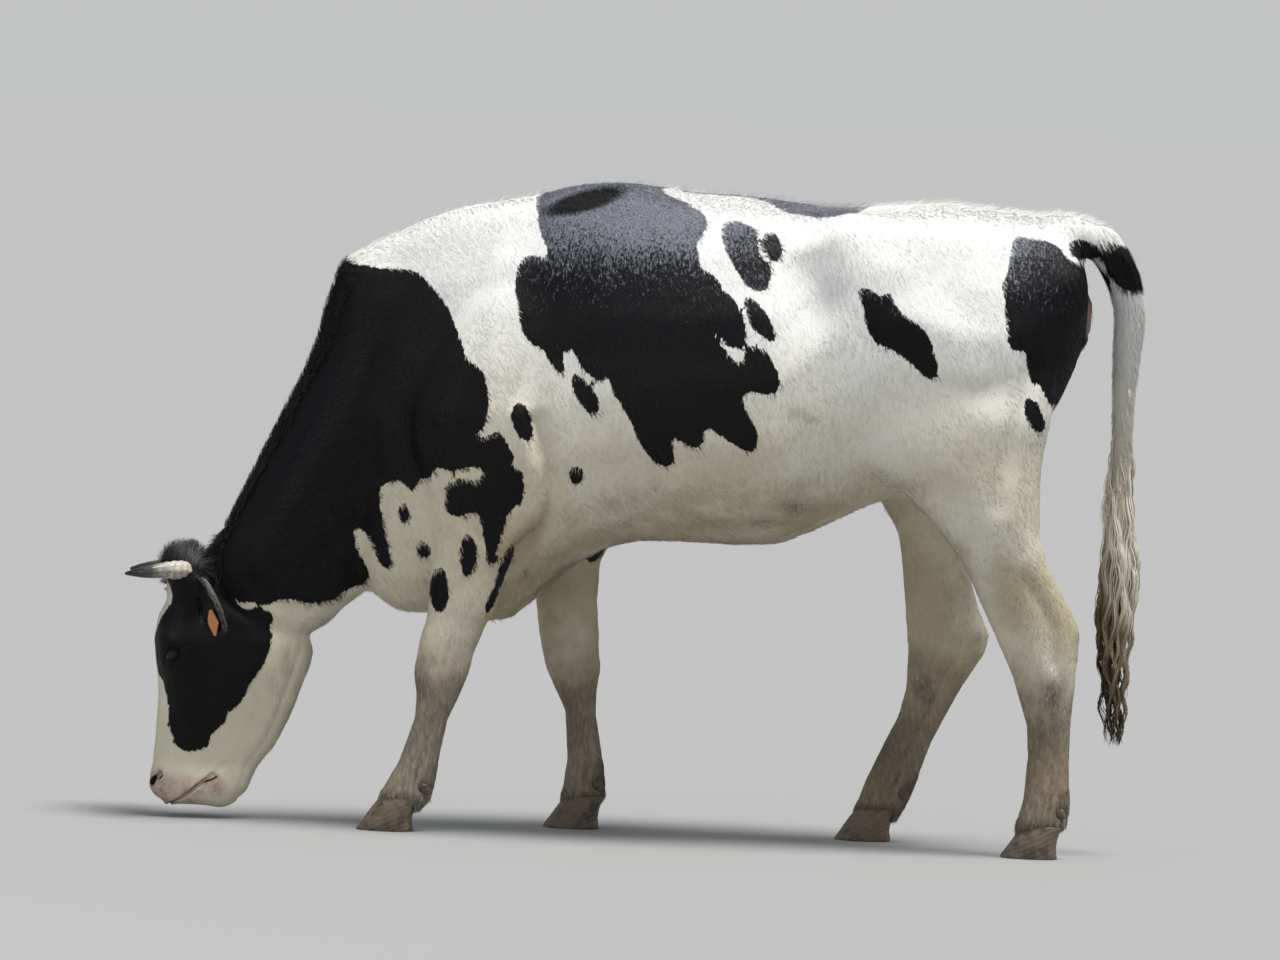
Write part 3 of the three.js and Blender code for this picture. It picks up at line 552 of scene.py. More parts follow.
table = points_of(skin.data)
for side, centre in EYES.items():
    outward, along, brow = eye_axes(side)
    arm = table - np.array(centre)
    radius = np.linalg.norm(arm, axis=1)
    length, height, depth = arm @ along, arm @ brow, arm @ outward
    near = (radius < 0.050) & (depth > -0.004)
    arch = np.clip(1.0 - (length / SLIT_HALF) ** 2, -1.5, 1.0)
    above = UPPER_ARCH * arch - height
    below = height + LOWER_ARCH * arch
    opening = np.minimum(above, below)
    laid = EYE_RADIUS + LID
    for place, width, lift in (RIM, FOLD):
        laid = laid + lift * bell(opening - place, width)
    keep = ease(-opening, 0.007, 0.020)
    wanted = laid * (1 - keep) + radius * keep
    wanted = np.where(opening > 0.0004, EYE_RADIUS - BEHIND_BALL, wanted)
    scale = np.where(near, wanted / np.maximum(radius, 1e-6), 1.0)
    table = np.array(centre) + arm * scale[:, None]
put_points(skin.data, table)
print("lids laid on eyes of radius", EYE_RADIUS)

# %% Under the tail
table, out = surface()
VULVA = [(0.925, 0.000, 1.185), (0.935, 0.000, 1.155), (0.930, 0.000, 1.120)]
VENT = (0.905, 0.000, 1.262)
crease(table, out, VULVA, 0.022, 0.012, both=False)
dab(table, out, VENT, 0.022, 0.006, both=False)
put_points(skin.data, table)
out = normals_of(skin.data)
crease(table, out, VULVA, 0.0050, -0.0110, both=False)
dab(table, out, VENT, 0.008, -0.008, both=False)
put_points(skin.data, table)

# %% [markdown]
# ## Markings
# A black-and-white coat has few, large patches with crisp edges. Each patch is a closed outline
# in the side view, rounded off between its corners. Every vertex then stores how far it lies
# inside the nearest patch, in metres, with minus outside. The material turns this distance into
# black or white, so the edge stays sharp between vertices, and each tuft of hair takes over the
# number of its root.

# %% Outlines of the patches on the left side, in millimetres
LEFT_PATCHES = {
    "neck": [
        (-745, 1210), (-652, 1212), (-575, 1203), (-505, 1202), (-476, 1184), (-440, 1148),
        (-417, 1115), (-404, 1083), (-392, 1059), (-379, 1025), (-352, 1004), (-336, 981),
        (-328, 939), (-328, 902), (-336, 874), (-354, 861), (-333, 853), (-299, 871), (-281, 840),
        (-267, 815), (-270, 795), (-248, 784), (-243, 745), (-248, 712), (-275, 699), (-278, 669),
        (-289, 636), (-297, 609), (-292, 592), (-313, 583), (-318, 617), (-324, 645), (-334, 677),
        (-343, 694), (-377, 684), (-407, 690), (-413, 722), (-410, 751), (-389, 765), (-428, 786),
        (-440, 762), (-467, 755), (-483, 730), (-506, 748), (-532, 746), (-553, 728), (-544, 664),
        (-531, 610), (-522, 560), (-544, 566), (-563, 602), (-584, 636), (-606, 640), (-600, 603),
        (-584, 573), (-570, 542), (-581, 520), (-610, 509), (-641, 488), (-677, 477), (-715, 478),
        (-750, 481), (-797, 464), (-845, 477), (-902, 538), (-956, 603), (-855, 758)],
    "spot_forearm_a": [
        (-358, 648), (-345, 634), (-337, 602), (-346, 565), (-361, 555), (-373, 585), (-374, 621)],
    "spot_forearm_b": [
        (-415, 574), (-399, 549), (-393, 513), (-405, 480), (-422, 479), (-435, 509), (-434, 546)],
    "stripe_forearm": [
        (-263, 628), (-256, 610), (-270, 570), (-285, 527), (-297, 496), (-311, 473), (-315, 492),
        (-302, 531), (-287, 579), (-276, 614)],
    "spot_arm": [(-462, 623), (-444, 617), (-434, 599), (-452, 586), (-472, 598)],
    "spot_chest_a": [
        (-268, 932), (-248, 927), (-234, 896), (-228, 862), (-243, 850), (-263, 869), (-277, 902)],
    "spot_chest_b": [(-147, 797), (-124, 798), (-113, 780), (-124, 765), (-145, 769)],
    "spot_chest_c": [
        (-144, 1000), (-122, 986), (-97, 960), (-88, 929), (-93, 911), (-113, 915), (-136, 947),
        (-150, 974)],
    "saddle": [
        (-242, 1408), (-132, 1445), (-8, 1450), (2, 1412), (34, 1389), (86, 1368), (117, 1348),
        (122, 1321), (110, 1295), (105, 1273), (117, 1238), (143, 1222), (162, 1193), (188, 1173),
        (206, 1140), (216, 1107), (215, 1077), (258, 1071), (281, 1040), (293, 1006), (288, 981),
        (260, 975), (230, 980), (214, 963), (223, 939), (237, 919), (251, 887), (248, 862),
        (234, 850), (203, 866), (171, 882), (149, 898), (136, 889), (135, 869), (123, 854),
        (106, 857), (86, 867), (69, 873), (72, 847), (79, 824), (63, 810), (37, 817), (12, 840),
        (-4, 865), (-18, 896), (-36, 927), (-57, 960), (-76, 995), (-90, 982), (-112, 996),
        (-130, 1012), (-144, 1036), (-160, 1055), (-172, 1037), (-166, 1001), (-183, 1003),
        (-199, 1021), (-213, 1044), (-233, 1053), (-253, 1069), (-267, 1096), (-275, 1139),
        (-282, 1181), (-277, 1217), (-267, 1239), (-248, 1246), (-220, 1241), (-219, 1269),
        (-234, 1300), (-242, 1334)],
    "loin_a": [
        (156, 1320), (170, 1336), (200, 1335), (224, 1325), (234, 1311), (233, 1289), (242, 1268),
        (260, 1251), (265, 1234), (262, 1212), (252, 1195), (235, 1192), (215, 1202), (196, 1225),
        (178, 1254), (161, 1288)],
    "loin_b": [
        (241, 1298), (249, 1314), (266, 1319), (279, 1306), (285, 1280), (281, 1259), (271, 1254),
        (255, 1264), (244, 1279)],
    "loin_c": [
        (209, 1176), (235, 1171), (255, 1149), (273, 1122), (281, 1091), (262, 1088), (240, 1106),
        (220, 1130)],
    "spine": [
        (46, 1405), (106, 1399), (192, 1399), (237, 1385), (280, 1366), (323, 1357), (376, 1353),
        (419, 1364), (452, 1373), (491, 1440), (18, 1451)],
    "hip": [
        (451, 1204), (477, 1209), (499, 1193), (516, 1202), (532, 1180), (554, 1155), (587, 1135),
        (610, 1104), (622, 1073), (630, 1041), (629, 1019), (612, 1021), (587, 1039), (565, 1059),
        (536, 1075), (514, 1085), (488, 1099), (472, 1130), (464, 1166)],
    "rump": [
        (787, 1330), (819, 1327), (854, 1326), (885, 1310), (911, 1282), (980, 1275), (1000, 1232),
        (990, 1190), (985, 1150), (970, 1104), (950, 1060), (930, 1020), (905, 975), (882, 968),
        (858, 1004), (849, 1021), (841, 1008), (831, 1027), (821, 1059), (813, 1088), (794, 1088),
        (777, 1111), (772, 1153), (766, 1195), (763, 1227), (771, 1255)],
    "thigh_spot": [
        (824, 988), (842, 982), (858, 959), (869, 931), (858, 914), (840, 920), (826, 946),
        (818, 971)],
    "face": [
        (-1060, 570), (-1080, 450), (-1080, 330), (-1060, 240), (-1030, 200), (-991, 191),
        (-986, 172), (-968, 153), (-948, 142), (-924, 148), (-904, 158), (-893, 184), (-868, 208),
        (-861, 232), (-842, 248), (-829, 266), (-815, 292), (-797, 324), (-785, 350), (-776, 376),
        (-772, 398), (-776, 419), (-770, 437), (-783, 456), (-796, 462), (-824, 510), (-859, 562),
        (-912, 594)],
    "cheek_white": [(-854, 478), (-841, 468), (-821, 473), (-810, 465), (-825, 458), (-840, 460)],
    "tail_a": [
        (969, 1306), (983, 1326), (1016, 1328), (1046, 1306), (1066, 1262), (1062, 1230),
        (1030, 1226), (1007, 1241), (990, 1270), (976, 1289)],
    "saddle_white": [
        (145, 1108), (156, 1106), (170, 1087), (184, 1073), (205, 1069), (219, 1059), (202, 1043),
        (187, 1051), (169, 1068), (153, 1089)],
    "arm_white": [
        (-441, 769), (-426, 782), (-402, 779), (-373, 787), (-338, 788), (-333, 774), (-345, 760),
        (-372, 765), (-395, 762), (-418, 748), (-434, 750)],
    "spot_brisket": [(-512, 692), (-500, 703), (-486, 688), (-487, 667), (-499, 660), (-511, 675)],
    "under_tail": [(905, 1318), (930, 1330), (965, 1318), (975, 1296), (950, 1286), (915, 1292)],
}
WHITE_GAPS = ("cheek_white", "arm_white", "saddle_white")
print("patches on the left", len(LEFT_PATCHES))

# %% Outlines of the patches on the right side, in millimetres
RIGHT_PATCHES = {
    "neck": [
        (-745, 1210), (-652, 1212), (-590, 1196), (-520, 1150), (-480, 1085), (-452, 1020),
        (-410, 968), (-398, 905), (-425, 850), (-405, 800), (-360, 770), (-350, 725), (-385, 690),
        (-420, 712), (-448, 665), (-440, 610), (-476, 598), (-500, 655), (-540, 640), (-562, 575),
        (-590, 520), (-641, 488), (-715, 478), (-797, 464), (-845, 477), (-902, 538), (-956, 603),
        (-855, 758)],
    "shoulder": [
        (-345, 1060), (-300, 1118), (-248, 1105), (-215, 1052), (-228, 985), (-200, 930),
        (-226, 868), (-270, 880), (-292, 945), (-330, 985)],
    "saddle": [
        (-242, 1450), (-8, 1450), (40, 1395), (70, 1330), (125, 1300), (165, 1245), (172, 1180),
        (215, 1135), (232, 1060), (205, 1010), (216, 950), (185, 905), (150, 925), (128, 985),
        (98, 950), (102, 880), (78, 825), (40, 830), (12, 885), (-28, 915), (-52, 985),
        (-98, 1030), (-118, 1105), (-165, 1160), (-172, 1235), (-215, 1290), (-226, 1370)],
    "spine": [
        (46, 1405), (105, 1372), (170, 1366), (230, 1325), (300, 1318), (350, 1290), (405, 1300),
        (440, 1345), (480, 1372), (491, 1440), (18, 1451)],
    "hip": [
        (545, 1235), (600, 1282), (668, 1276), (715, 1232), (772, 1205), (800, 1140), (778, 1072),
        (792, 1000), (752, 948), (702, 962), (676, 900), (632, 874), (600, 922), (610, 995),
        (576, 1050), (586, 1120), (552, 1165)],
    "flank": [
        (330, 1100), (366, 1112), (402, 1082), (396, 1035), (418, 995), (392, 955), (352, 962),
        (330, 1008), (306, 1040)],
    "rib_spot": [(262, 850), (292, 862), (312, 832), (290, 796), (262, 812)],
    "pin": [
        (850, 1300), (911, 1300), (980, 1275), (1000, 1232), (960, 1160), (925, 1105), (890, 1070),
        (862, 1110), (868, 1175), (838, 1230)],
    "face": LEFT_PATCHES["face"],
    "elbow": [(-120, 650), (-85, 662), (-62, 625), (-78, 590), (-104, 584)],
    "tail_a": LEFT_PATCHES["tail_a"],
    "under_tail": LEFT_PATCHES["under_tail"],
}
# The white blaze down the forehead and nose: height, and half its width there
BLAZE = [(540, -40), (520, 10), (500, 60), (480, 74), (445, 68), (410, 52), (380, 28), (340, 22),
         (310, 40), (280, 54), (240, 57), (200, 52), (170, 56), (140, 50), (112, 46), (85, 200)]
print("patches on the right", len(RIGHT_PATCHES))

# %% How far each vertex lies inside a patch
ROUNDING = 3
FAR = 0.06
SPINE_BLEND = 0.03
# The cleft between the thighs stays white below this height
CLEFT_X, CLEFT_TOP, CLEFT_HALF = 0.80, 0.965, 0.12


def rounded(outline):
    """A smooth closed curve through the corners of an outline."""
    corners = np.array(outline, float) / 1000
    before, after = np.roll(corners, 1, 0), np.roll(corners, -1, 0)
    later = np.roll(corners, -2, 0)
    steps = []
    for share in np.arange(ROUNDING) / ROUNDING:
        steps.append(0.5 * (2 * corners + (after - before) * share
                            + (2 * before - 5 * corners + 4 * after - later) * share ** 2
                            + (3 * corners - before - 3 * after + later) * share ** 3))
    return np.stack(steps, 1).reshape(-1, 2)


def depth_inside(flat, outline):
    """Distance to the outline, positive inside it and negative outside."""
    curve = rounded(outline)
    low, high = curve.min(0) - FAR, curve.max(0) + FAR
    depth = np.full(len(flat), -FAR)
    close = np.nonzero(((flat > low) & (flat < high)).all(axis=1))[0]
    spots = flat[close]
    nearest = np.full(len(spots), np.inf)
    within = np.zeros(len(spots), bool)
    for start, end in zip(curve, np.roll(curve, -1, 0)):
        along = end - start
        share = np.clip(((spots - start) @ along) / (along @ along), 0.0, 1.0)
        gap = np.linalg.norm(spots - start - share[:, None] * along, axis=1)
        nearest = np.minimum(nearest, gap)
        crosses = (start[1] > spots[:, 1]) != (end[1] > spots[:, 1])
        if along[1]:
            reach = start[0] + (spots[:, 1] - start[1]) * along[0] / along[1]
            within ^= crosses & (spots[:, 0] < reach)
    depth[close] = np.where(within, nearest, -nearest)
    return np.clip(depth, -FAR, FAR)


def patch_depth(flat, patches):
    """Depth inside the nearest of several patches, less the white gaps in them."""
    depth = np.full(len(flat), -FAR)
    for name, outline in patches.items():
        if name not in WHITE_GAPS:
            depth = np.maximum(depth, depth_inside(flat, outline))
    for name in WHITE_GAPS:
        if name in patches:
            depth = np.minimum(depth, -depth_inside(flat, patches[name]))
    return depth


def markings(table):
    """Depth inside the black patches for points anywhere on the cow."""
    flat, aside = table[:, (0, 2)], table[:, 1]
    left, right = patch_depth(flat, LEFT_PATCHES), patch_depth(flat, RIGHT_PATCHES)
    share = ease(aside, -SPINE_BLEND, SPINE_BLEND)
    depth = np.where(aside < 0, left, right)
    depth = np.where(np.abs(aside) < SPINE_BLEND, left * (1 - share) + right * share, depth)
    cleft = (flat[:, 0] > CLEFT_X) & (flat[:, 1] < CLEFT_TOP) & (np.abs(aside) < CLEFT_HALF)
    depth = np.where(cleft, -FAR, depth)
    heights, widths = np.array(sorted(BLAZE)).T / 1000
    blaze = np.abs(aside) - np.interp(flat[:, 1], heights, widths)
    face = (flat[:, 0] < -0.90) & (flat[:, 1] < 0.56)
    return np.where(face, np.minimum(depth, blaze), depth)


def store(thing, name, values):
    """Keep one number per vertex as an attribute that materials can read."""
    layer = thing.data.attributes.new(name, "FLOAT", "POINT")
    layer.data.foreach_set("value", values.astype(np.float32))


skin_black = markings(points_of(skin.data))
store(skin, "black", skin_black)
print("black share of the skin", round(float((skin_black > 0).mean()), 3))

# %% Soil with some painted shade, bare skin, and the openings that get painted shade, stored in the same way
# Where dried mud clings, and where painted shade darkens the underside: centre, reach and strength
SMUDGES_AND_SHADE = [
    ((-0.452, -0.20, 0.317), (0.024, 0.16, 0.040), 0.75),
    ((0.906, -0.20, 0.350), (0.026, 0.10, 0.042), 0.85),
    ((0.885, -0.20, 0.250), (0.030, 0.10, 0.060), 0.55),
    ((0.640, 0.15, 0.345), (0.032, 0.12, 0.045), 0.80),
    ((0.560, 0.15, 0.200), (0.045, 0.12, 0.060), 0.60),
    ((-0.110, 0.18, 0.225), (0.022, 0.12, 0.060), 0.55),
    ((0.331, -0.20, 0.735), (0.034, 0.12, 0.014), 0.80),
    ((0.262, -0.15, 0.700), (0.040, 0.12, 0.012), 0.85),
    ((0.335, -0.25, 0.938), (0.022, 0.10, 0.012), 0.60),
    ((0.365, -0.25, 0.925), (0.012, 0.10, 0.009), 0.60),
    ((-0.231, -0.15, 0.566), (0.010, 0.10, 0.010), 0.90),
    ((0.300, 0.20, 0.760), (0.070, 0.14, 0.030), 0.60),
    # These two are painted shade under the chest behind the elbow and along the lower edge of the
    # belly, mixed with soil
    ((-0.160, -0.08, 0.560), (0.080, 0.16, 0.060), 0.34),
    ((0.060, -0.10, 0.640), (0.260, 0.20, 0.030), 0.22),
    ((-0.742, -0.07, 0.350), (0.012, 0.06, 0.040), 0.40),
    ((-0.768, -0.07, 0.300), (0.012, 0.06, 0.030), 0.25),
]


table = points_of(skin.data)
skin_soil_and_shade = np.zeros(len(table))
for centre, reach, strength in SMUDGES_AND_SHADE:
    skin_soil_and_shade = np.maximum(skin_soil_and_shade, strength * near_point(table, centre, reach))
to_mouth, to_nostril = near_line(table, MOUTH), near_line(table, NOSTRIL)
to_vulva = near_line(table, VULVA, both=False)
CHIN, BRISKET = (0.876, 0.060, 0.066), (-0.490, 0.0, 0.520)
front = ease(-table[:, 0], 0.935, 0.990) * (1 - ease(table[:, 2], 0.085, 0.130))
lips = ease(-table[:, 0], 0.860, 0.930) * (1 - ease(table[:, 2], 0.070, 0.115))
bare = np.max([0.68 * front, 0.60 * lips, 0.9 * bell(to_mouth, 0.012), bell(to_nostril, 0.015),
               0.85 * near_point(np.abs(table), CHIN, (0.026, 0.020, 0.026)),
               bell(to_vulva, 0.020),
               0.45 * near_point(table, BRISKET, (0.050, 0.12, 0.050))], axis=0)
# How deep into a nostril, the mouth, the vulva or a lid rim each point lies; the hide is painted
# near black there as painted shade
opening = np.max([0.0074 - near_line(table, NOSTRIL[:3]), 0.0032 - to_mouth, 0.0020 - to_vulva,
                  0.0010 - (to_eyes(table) - EYE_RADIUS)], axis=0)
store(skin, "soil_and_shade", skin_soil_and_shade)
store(skin, "bare", bare)
store(skin, "opening", np.clip(opening, -0.02, 0.02))
print("soil, bare skin and openings stored")

# %% [markdown]
# ## Materials
# Hair is matt and slightly silky, never glossy. One node group works out the coat's colour from
# the stored distance and from where on the cow a point is: cream under the belly, earth on the
# lower legs, a painted sheen of bluish grey on the black hair of the back, and the stored soil
# with its painted shade. A second group gives the fine grain of the short hair. Skin and tufts
# share both, so they can't disagree.

# %% Helpers for node trees
def feed(socket, value):
    """Link another node's output to a socket, or give it a number, a vector or a colour."""
    if isinstance(value, bpy.types.NodeSocket):
        socket.id_data.links.new(value, socket)
    elif socket.type == "RGBA":
        socket.default_value = (*value, 1.0)
    else:
        socket.default_value = value


def fill(node, **values):
    """Feed inputs by name: Base_Color means the input called Base Color."""
    for name, value in values.items():
        called = name.replace("_", " ").lower()
        feed(next(one for one in node.inputs if one.name.lower() == called), value)


def math_node(tree, operation, *values, clamp=False):
    """A Math node whose inputs are numbers or other nodes' outputs."""
    node = tree.nodes.new("ShaderNodeMath")
    node.operation, node.use_clamp = operation, clamp
    for socket, value in zip(node.inputs, values):
        feed(socket, value)
    return node.outputs[0]


def times(tree, first, second, clamp=False):
    """The product of two values."""
    return math_node(tree, "MULTIPLY", first, second, clamp=clamp)


def scaled(tree, value, factor, added):
    """A value times a factor, plus something."""
    return math_node(tree, "MULTIPLY_ADD", value, factor, added)


def squares(tree, first, second):
    """The sum of two squares."""
    return math_node(tree, "ADD", times(tree, first, first), times(tree, second, second))


def step_node(tree, value, low, high, start=0.0, end=1.0):
    """A smooth step of a value from low to high."""
    node = tree.nodes.new("ShaderNodeMapRange")
    node.interpolation_type = "SMOOTHSTEP"
    fill(node, Value=value, From_Min=low, From_Max=high, To_Min=start, To_Max=end)
    return node.outputs["Result"]


def blend_node(tree, share, first, second):
    """A colour between two others; each is a colour or another node's output."""
    node = tree.nodes.new("ShaderNodeMix")
    node.data_type = "RGBA"
    for place, value in ((0, share), (6, first), (7, second)):
        feed(node.inputs[place], value)
    return node.outputs[2]


def noise_node(tree, vector, scale, detail=2.0, roughness=0.5):
    """Noise on a place."""
    node = tree.nodes.new("ShaderNodeTexNoise")
    fill(node, Vector=vector, Scale=scale, Detail=detail, Roughness=roughness)
    return node.outputs["Fac"]


def place_node(tree):
    """Where a point is, in the piece's own axes."""
    return tree.nodes.new("ShaderNodeTexCoord").outputs["Object"]


def axes_node(tree, place):
    """The x and z of a place."""
    node = tree.nodes.new("ShaderNodeSeparateXYZ")
    fill(node, Vector=place)
    return node.outputs["X"], node.outputs["Z"]


def turned_node(tree, place, degrees=0.0, scale=(1.0, 1.0, 1.0)):
    """A place turned about the Y axis and scaled, which draws a texture out one way."""
    node = tree.nodes.new("ShaderNodeMapping")
    fill(node, Vector=place, Rotation=(0.0, math.radians(degrees), 0.0), Scale=scale)
    return node.outputs[0]


def stored_node(tree, name):
    """The number that every vertex has stored under a name."""
    node = tree.nodes.new("ShaderNodeAttribute")
    node.attribute_name = name
    return node.outputs["Fac"]


def group_of(title, inputs, outputs):
    """An empty node group with named sockets."""
    tree = bpy.data.node_groups.new(title, "ShaderNodeTree")
    for name, kind, value in inputs:
        socket = tree.interface.new_socket(name, in_out="INPUT", socket_type=kind)
        socket.default_value = value
    for name, kind in outputs:
        tree.interface.new_socket(name, in_out="OUTPUT", socket_type=kind)
    return tree, tree.nodes.new("NodeGroupInput"), tree.nodes.new("NodeGroupOutput")


# %% The coat's colour
CREAM = (0.68, 0.62, 0.465)
CHALK = (0.85, 0.845, 0.81)
STRAW = (0.36, 0.29, 0.165)
EARTH = (0.118, 0.090, 0.064)
RUST = (0.155, 0.092, 0.052)
# Dark peat brown of dried mud, also used for the painted shade under the body
PEAT_AND_SHADE = (0.050, 0.043, 0.034)
COAL = (0.0035, 0.0035, 0.0045)
UMBER = (0.0070, 0.0055, 0.0045)
GREYED = (0.014, 0.014, 0.016)
# The bluish grey of the painted sheen on black hair
PAINTED_SHEEN_GREY = (0.270, 0.285, 0.335)
FROST = (0.36, 0.325, 0.28)
SUNNED = (0.52, 0.48, 0.40)
OATEN = (0.50, 0.45, 0.36)
HAIR_SLOPE = -22
# Places on the back that the painted sheen leaves black, as ellipses in the side view: the hollow
# behind the withers, kept dark as painted shade, and a black spot on the loin. Each is centre,
# half length, half height and slope
NO_PAINTED_SHEEN = [(-0.140, 1.366, 0.092, 0.024, 0.30), (0.260, 1.287, 0.034, 0.042, 0.0)]

FLOAT, COLOUR = "NodeSocketFloat", "NodeSocketColor"
coat_colour, gin, gout = group_of(
    "Coat colour",
    [("Ragged", FLOAT, 0.004), ("Hair Variation", FLOAT, 0.5)],
    [("Color", COLOUR), ("Black", FLOAT)])
t = coat_colour
place = place_node(t)
x, z = axes_node(t, place)
drawn_out = turned_node(t, place, HAIR_SLOPE, (3.2, 2.0, 1.0))
fray = noise_node(t, drawn_out, 70.0, 3.0, 0.6)
cloud = noise_node(t, place, 3.5, 3.0)
strand = noise_node(t, drawn_out, 260.0)
tuft_shade = stored_node(t, "shade")
# Black or white: the stored distance, with a wandering and frayed edge
uneven = times(t, math_node(t, "SUBTRACT", fray, 0.5), gin.outputs["Ragged"])
wandering = scaled(t, noise_node(t, place, 22.0), 0.010, -0.005)
edge = math_node(t, "ADD", scaled(t, uneven, 4.0, stored_node(t, "black")), wandering)
black = step_node(t, edge, -0.0012, 0.0012)
# White hair: chalky above, cream below, and patchy straw brown low on the belly, darker towards
# the bottom
low = step_node(t, z, 1.20, 0.72)
cream_share = times(t, low, step_node(t, cloud, 0.22, 0.52, 0.25, 1.0), clamp=True)
white = blend_node(t, cream_share, CHALK, CREAM)
belly = times(t, step_node(t, z, 0.96, 0.66), step_node(t, x, -0.50, -0.25))
belly_straw = times(t, belly, step_node(t, noise_node(t, place, 6.0, 4.0), 0.36, 0.66, 0.30, 1.0))
white = blend_node(t, times(t, belly_straw, 0.76), white, STRAW)
strand_share = times(t, step_node(t, strand, 0.35, 0.75), gin.outputs["Hair Variation"])
white = blend_node(t, times(t, strand_share, 0.35), white, SUNNED)
white = blend_node(t, times(t, tuft_shade, 0.09), white, OATEN)
# Black hair gets a painted sheen high on the back: bluish grey streaks where sunlight would glint
# on it
dark = blend_node(t, step_node(t, cloud, 0.45, 0.75), COAL, UMBER)
dark = blend_node(t, times(t, tuft_shade, 0.40), dark, GREYED)
upward = scaled(t, strand, 0.16, scaled(t, fray, 0.50, scaled(t, cloud, 0.30, z)))
painted_sheen = times(t, step_node(t, upward, 1.68, 1.83), step_node(t, x, -0.32, -0.18))
painted_sheen = times(t, painted_sheen, step_node(t, x, 0.80, 0.98, 1.0, 0.0))
for middle_x, middle_z, half_length, half_height, slope in NO_PAINTED_SHEEN:
    length = scaled(t, x, 1 / half_length, -middle_x / half_length)
    height = scaled(t, scaled(t, x, -slope, z), 1 / half_height,
                    (slope * middle_x - middle_z) / half_height)
    away = scaled(t, fray, 1.1, squares(t, length, height))
    painted_sheen = times(t, painted_sheen, step_node(t, away, 1.0, 1.9))
painted_sheen = times(t, painted_sheen, step_node(t, strand, 0.36, 0.66, 0.30, 1.0))
dark = blend_node(t, painted_sheen, dark, PAINTED_SHEEN_GREY)
hair = blend_node(t, black, white, dark)
hair = blend_node(t, stored_node(t, "frost"), hair, FROST)
# Earth on the lower legs, and smudges of dried mud, two of them painted shade under the chest and
# belly
mud_height = math_node(t, "ADD", z, scaled(t, noise_node(t, place, 9.0, 4.0, 0.6), 0.34, -0.17))
mud = times(t, step_node(t, mud_height, 0.46, 0.24), step_node(t, x, -0.70, -0.66), clamp=True)
speckle = step_node(t, noise_node(t, drawn_out, 46.0, 3.0, 0.6), 0.15, 0.70, 0.62, 1.0)
earth = times(t, mud, speckle, clamp=True)
rusty = blend_node(t, step_node(t, noise_node(t, place, 13.0), 0.46, 0.66), EARTH, RUST)
soiled_and_shaded = blend_node(t, times(t, earth, 0.84), hair, rusty)
smudge_and_shade = times(t, stored_node(t, "soil_and_shade"), step_node(t, fray, 0.30, 0.62, 0.3, 1.0))
soiled_and_shaded = blend_node(t, times(t, smudge_and_shade, 0.85), soiled_and_shaded, PEAT_AND_SHADE)
fill(gout, Color=soiled_and_shaded, Black=black)
print("coat colour nodes", len(t.nodes))

# %% The grain of short hair
hair_grain, gin, gout = group_of("Hair grain", [], [("Height", FLOAT)])
t = hair_grain
place = place_node(t)
swirl = t.nodes.new("ShaderNodeVectorMath")
swirl.operation = "MULTIPLY_ADD"
bend = t.nodes.new("ShaderNodeTexNoise")
fill(bend, Vector=place, Scale=14.0)
for socket, value in zip(swirl.inputs, (bend.outputs["Color"], (0.12, 0.12, 0.12),
                                        turned_node(t, place, -24, (7.0, 7.0, 1.0)))):
    feed(socket, value)
bristles = noise_node(t, swirl.outputs[0], 90.0, 3.0, 0.6)
locks = noise_node(t, swirl.outputs[0], 30.0)
fill(gout, Height=scaled(t, locks, 0.6, bristles))


def use(tree, group, **values):
    """Place a node group in a material with its own values."""
    node = tree.nodes.new("ShaderNodeGroup")
    node.node_tree = group
    fill(node, **values)
    return node


def material(title, rough, **sockets):
    """A new material with its Principled shader's own values set."""
    made = bpy.data.materials.new(title)
    made.use_nodes = True
    shader = made.node_tree.nodes["Principled BSDF"]
    fill(shader, Roughness=rough, **sockets)
    return made, made.node_tree, shader


def bump_on(tree, shader, height, strength, distance):
    """Feed a height through a Bump node into the shader."""
    bump = tree.nodes.new("ShaderNodeBump")
    fill(bump, Strength=strength, Distance=distance, Height=height)
    fill(shader, Normal=bump.outputs["Normal"])


# %% Hide: skin under short, flat hair
hide, t, shader = material("hide", 0.62, Specular_Ior_Level=0.14)
coat = use(t, coat_colour, Ragged=0.004, Hair_Variation=0.55)
grain = use(t, hair_grain)
place = place_node(t)
# Pink and fawn of bare skin, and the near black of the painted shade in the openings
PINK, FAWN, PAINTED_PIT_SHADE = (0.52, 0.34, 0.285), (0.30, 0.200, 0.170), (0.012, 0.007, 0.006)
mottle = noise_node(t, place, 55.0, 3.0, 0.6)
pebbles = noise_node(t, place, 330.0)
bare_colour = blend_node(t, step_node(t, mottle, 0.40, 0.62), PINK, FAWN)
patchy = scaled(t, noise_node(t, place, 120.0, 3.0), 1.1, 0.45)
bare_share = step_node(t, times(t, stored_node(t, "bare"), patchy), 0.10, 0.90, 0.0, 0.85)
seen = blend_node(t, bare_share, coat.outputs["Color"], bare_colour)
# Nostrils, mouth, vulva and the lid rims at the eyeballs are painted near black: painted shade
# inside the openings
painted_pit_shade = step_node(t, stored_node(t, "opening"), -0.0006, 0.0014)
matt = step_node(t, coat.outputs["Black"], 0.0, 1.0, 0.72, 0.55)
fill(shader, Base_Color=blend_node(t, painted_pit_shade, seen, PAINTED_PIT_SHADE),
     Roughness=scaled(t, bare_share, -0.25, matt))
covered = math_node(t, "SUBTRACT", 1.0, bare_share)
relief = math_node(t, "ADD", times(t, pebbles, bare_share),
                   times(t, grain.outputs["Height"], covered))
bump_on(t, shader, relief, 0.50, 0.003)
skin.data.materials.append(hide)
print("hide nodes", len(t.nodes))

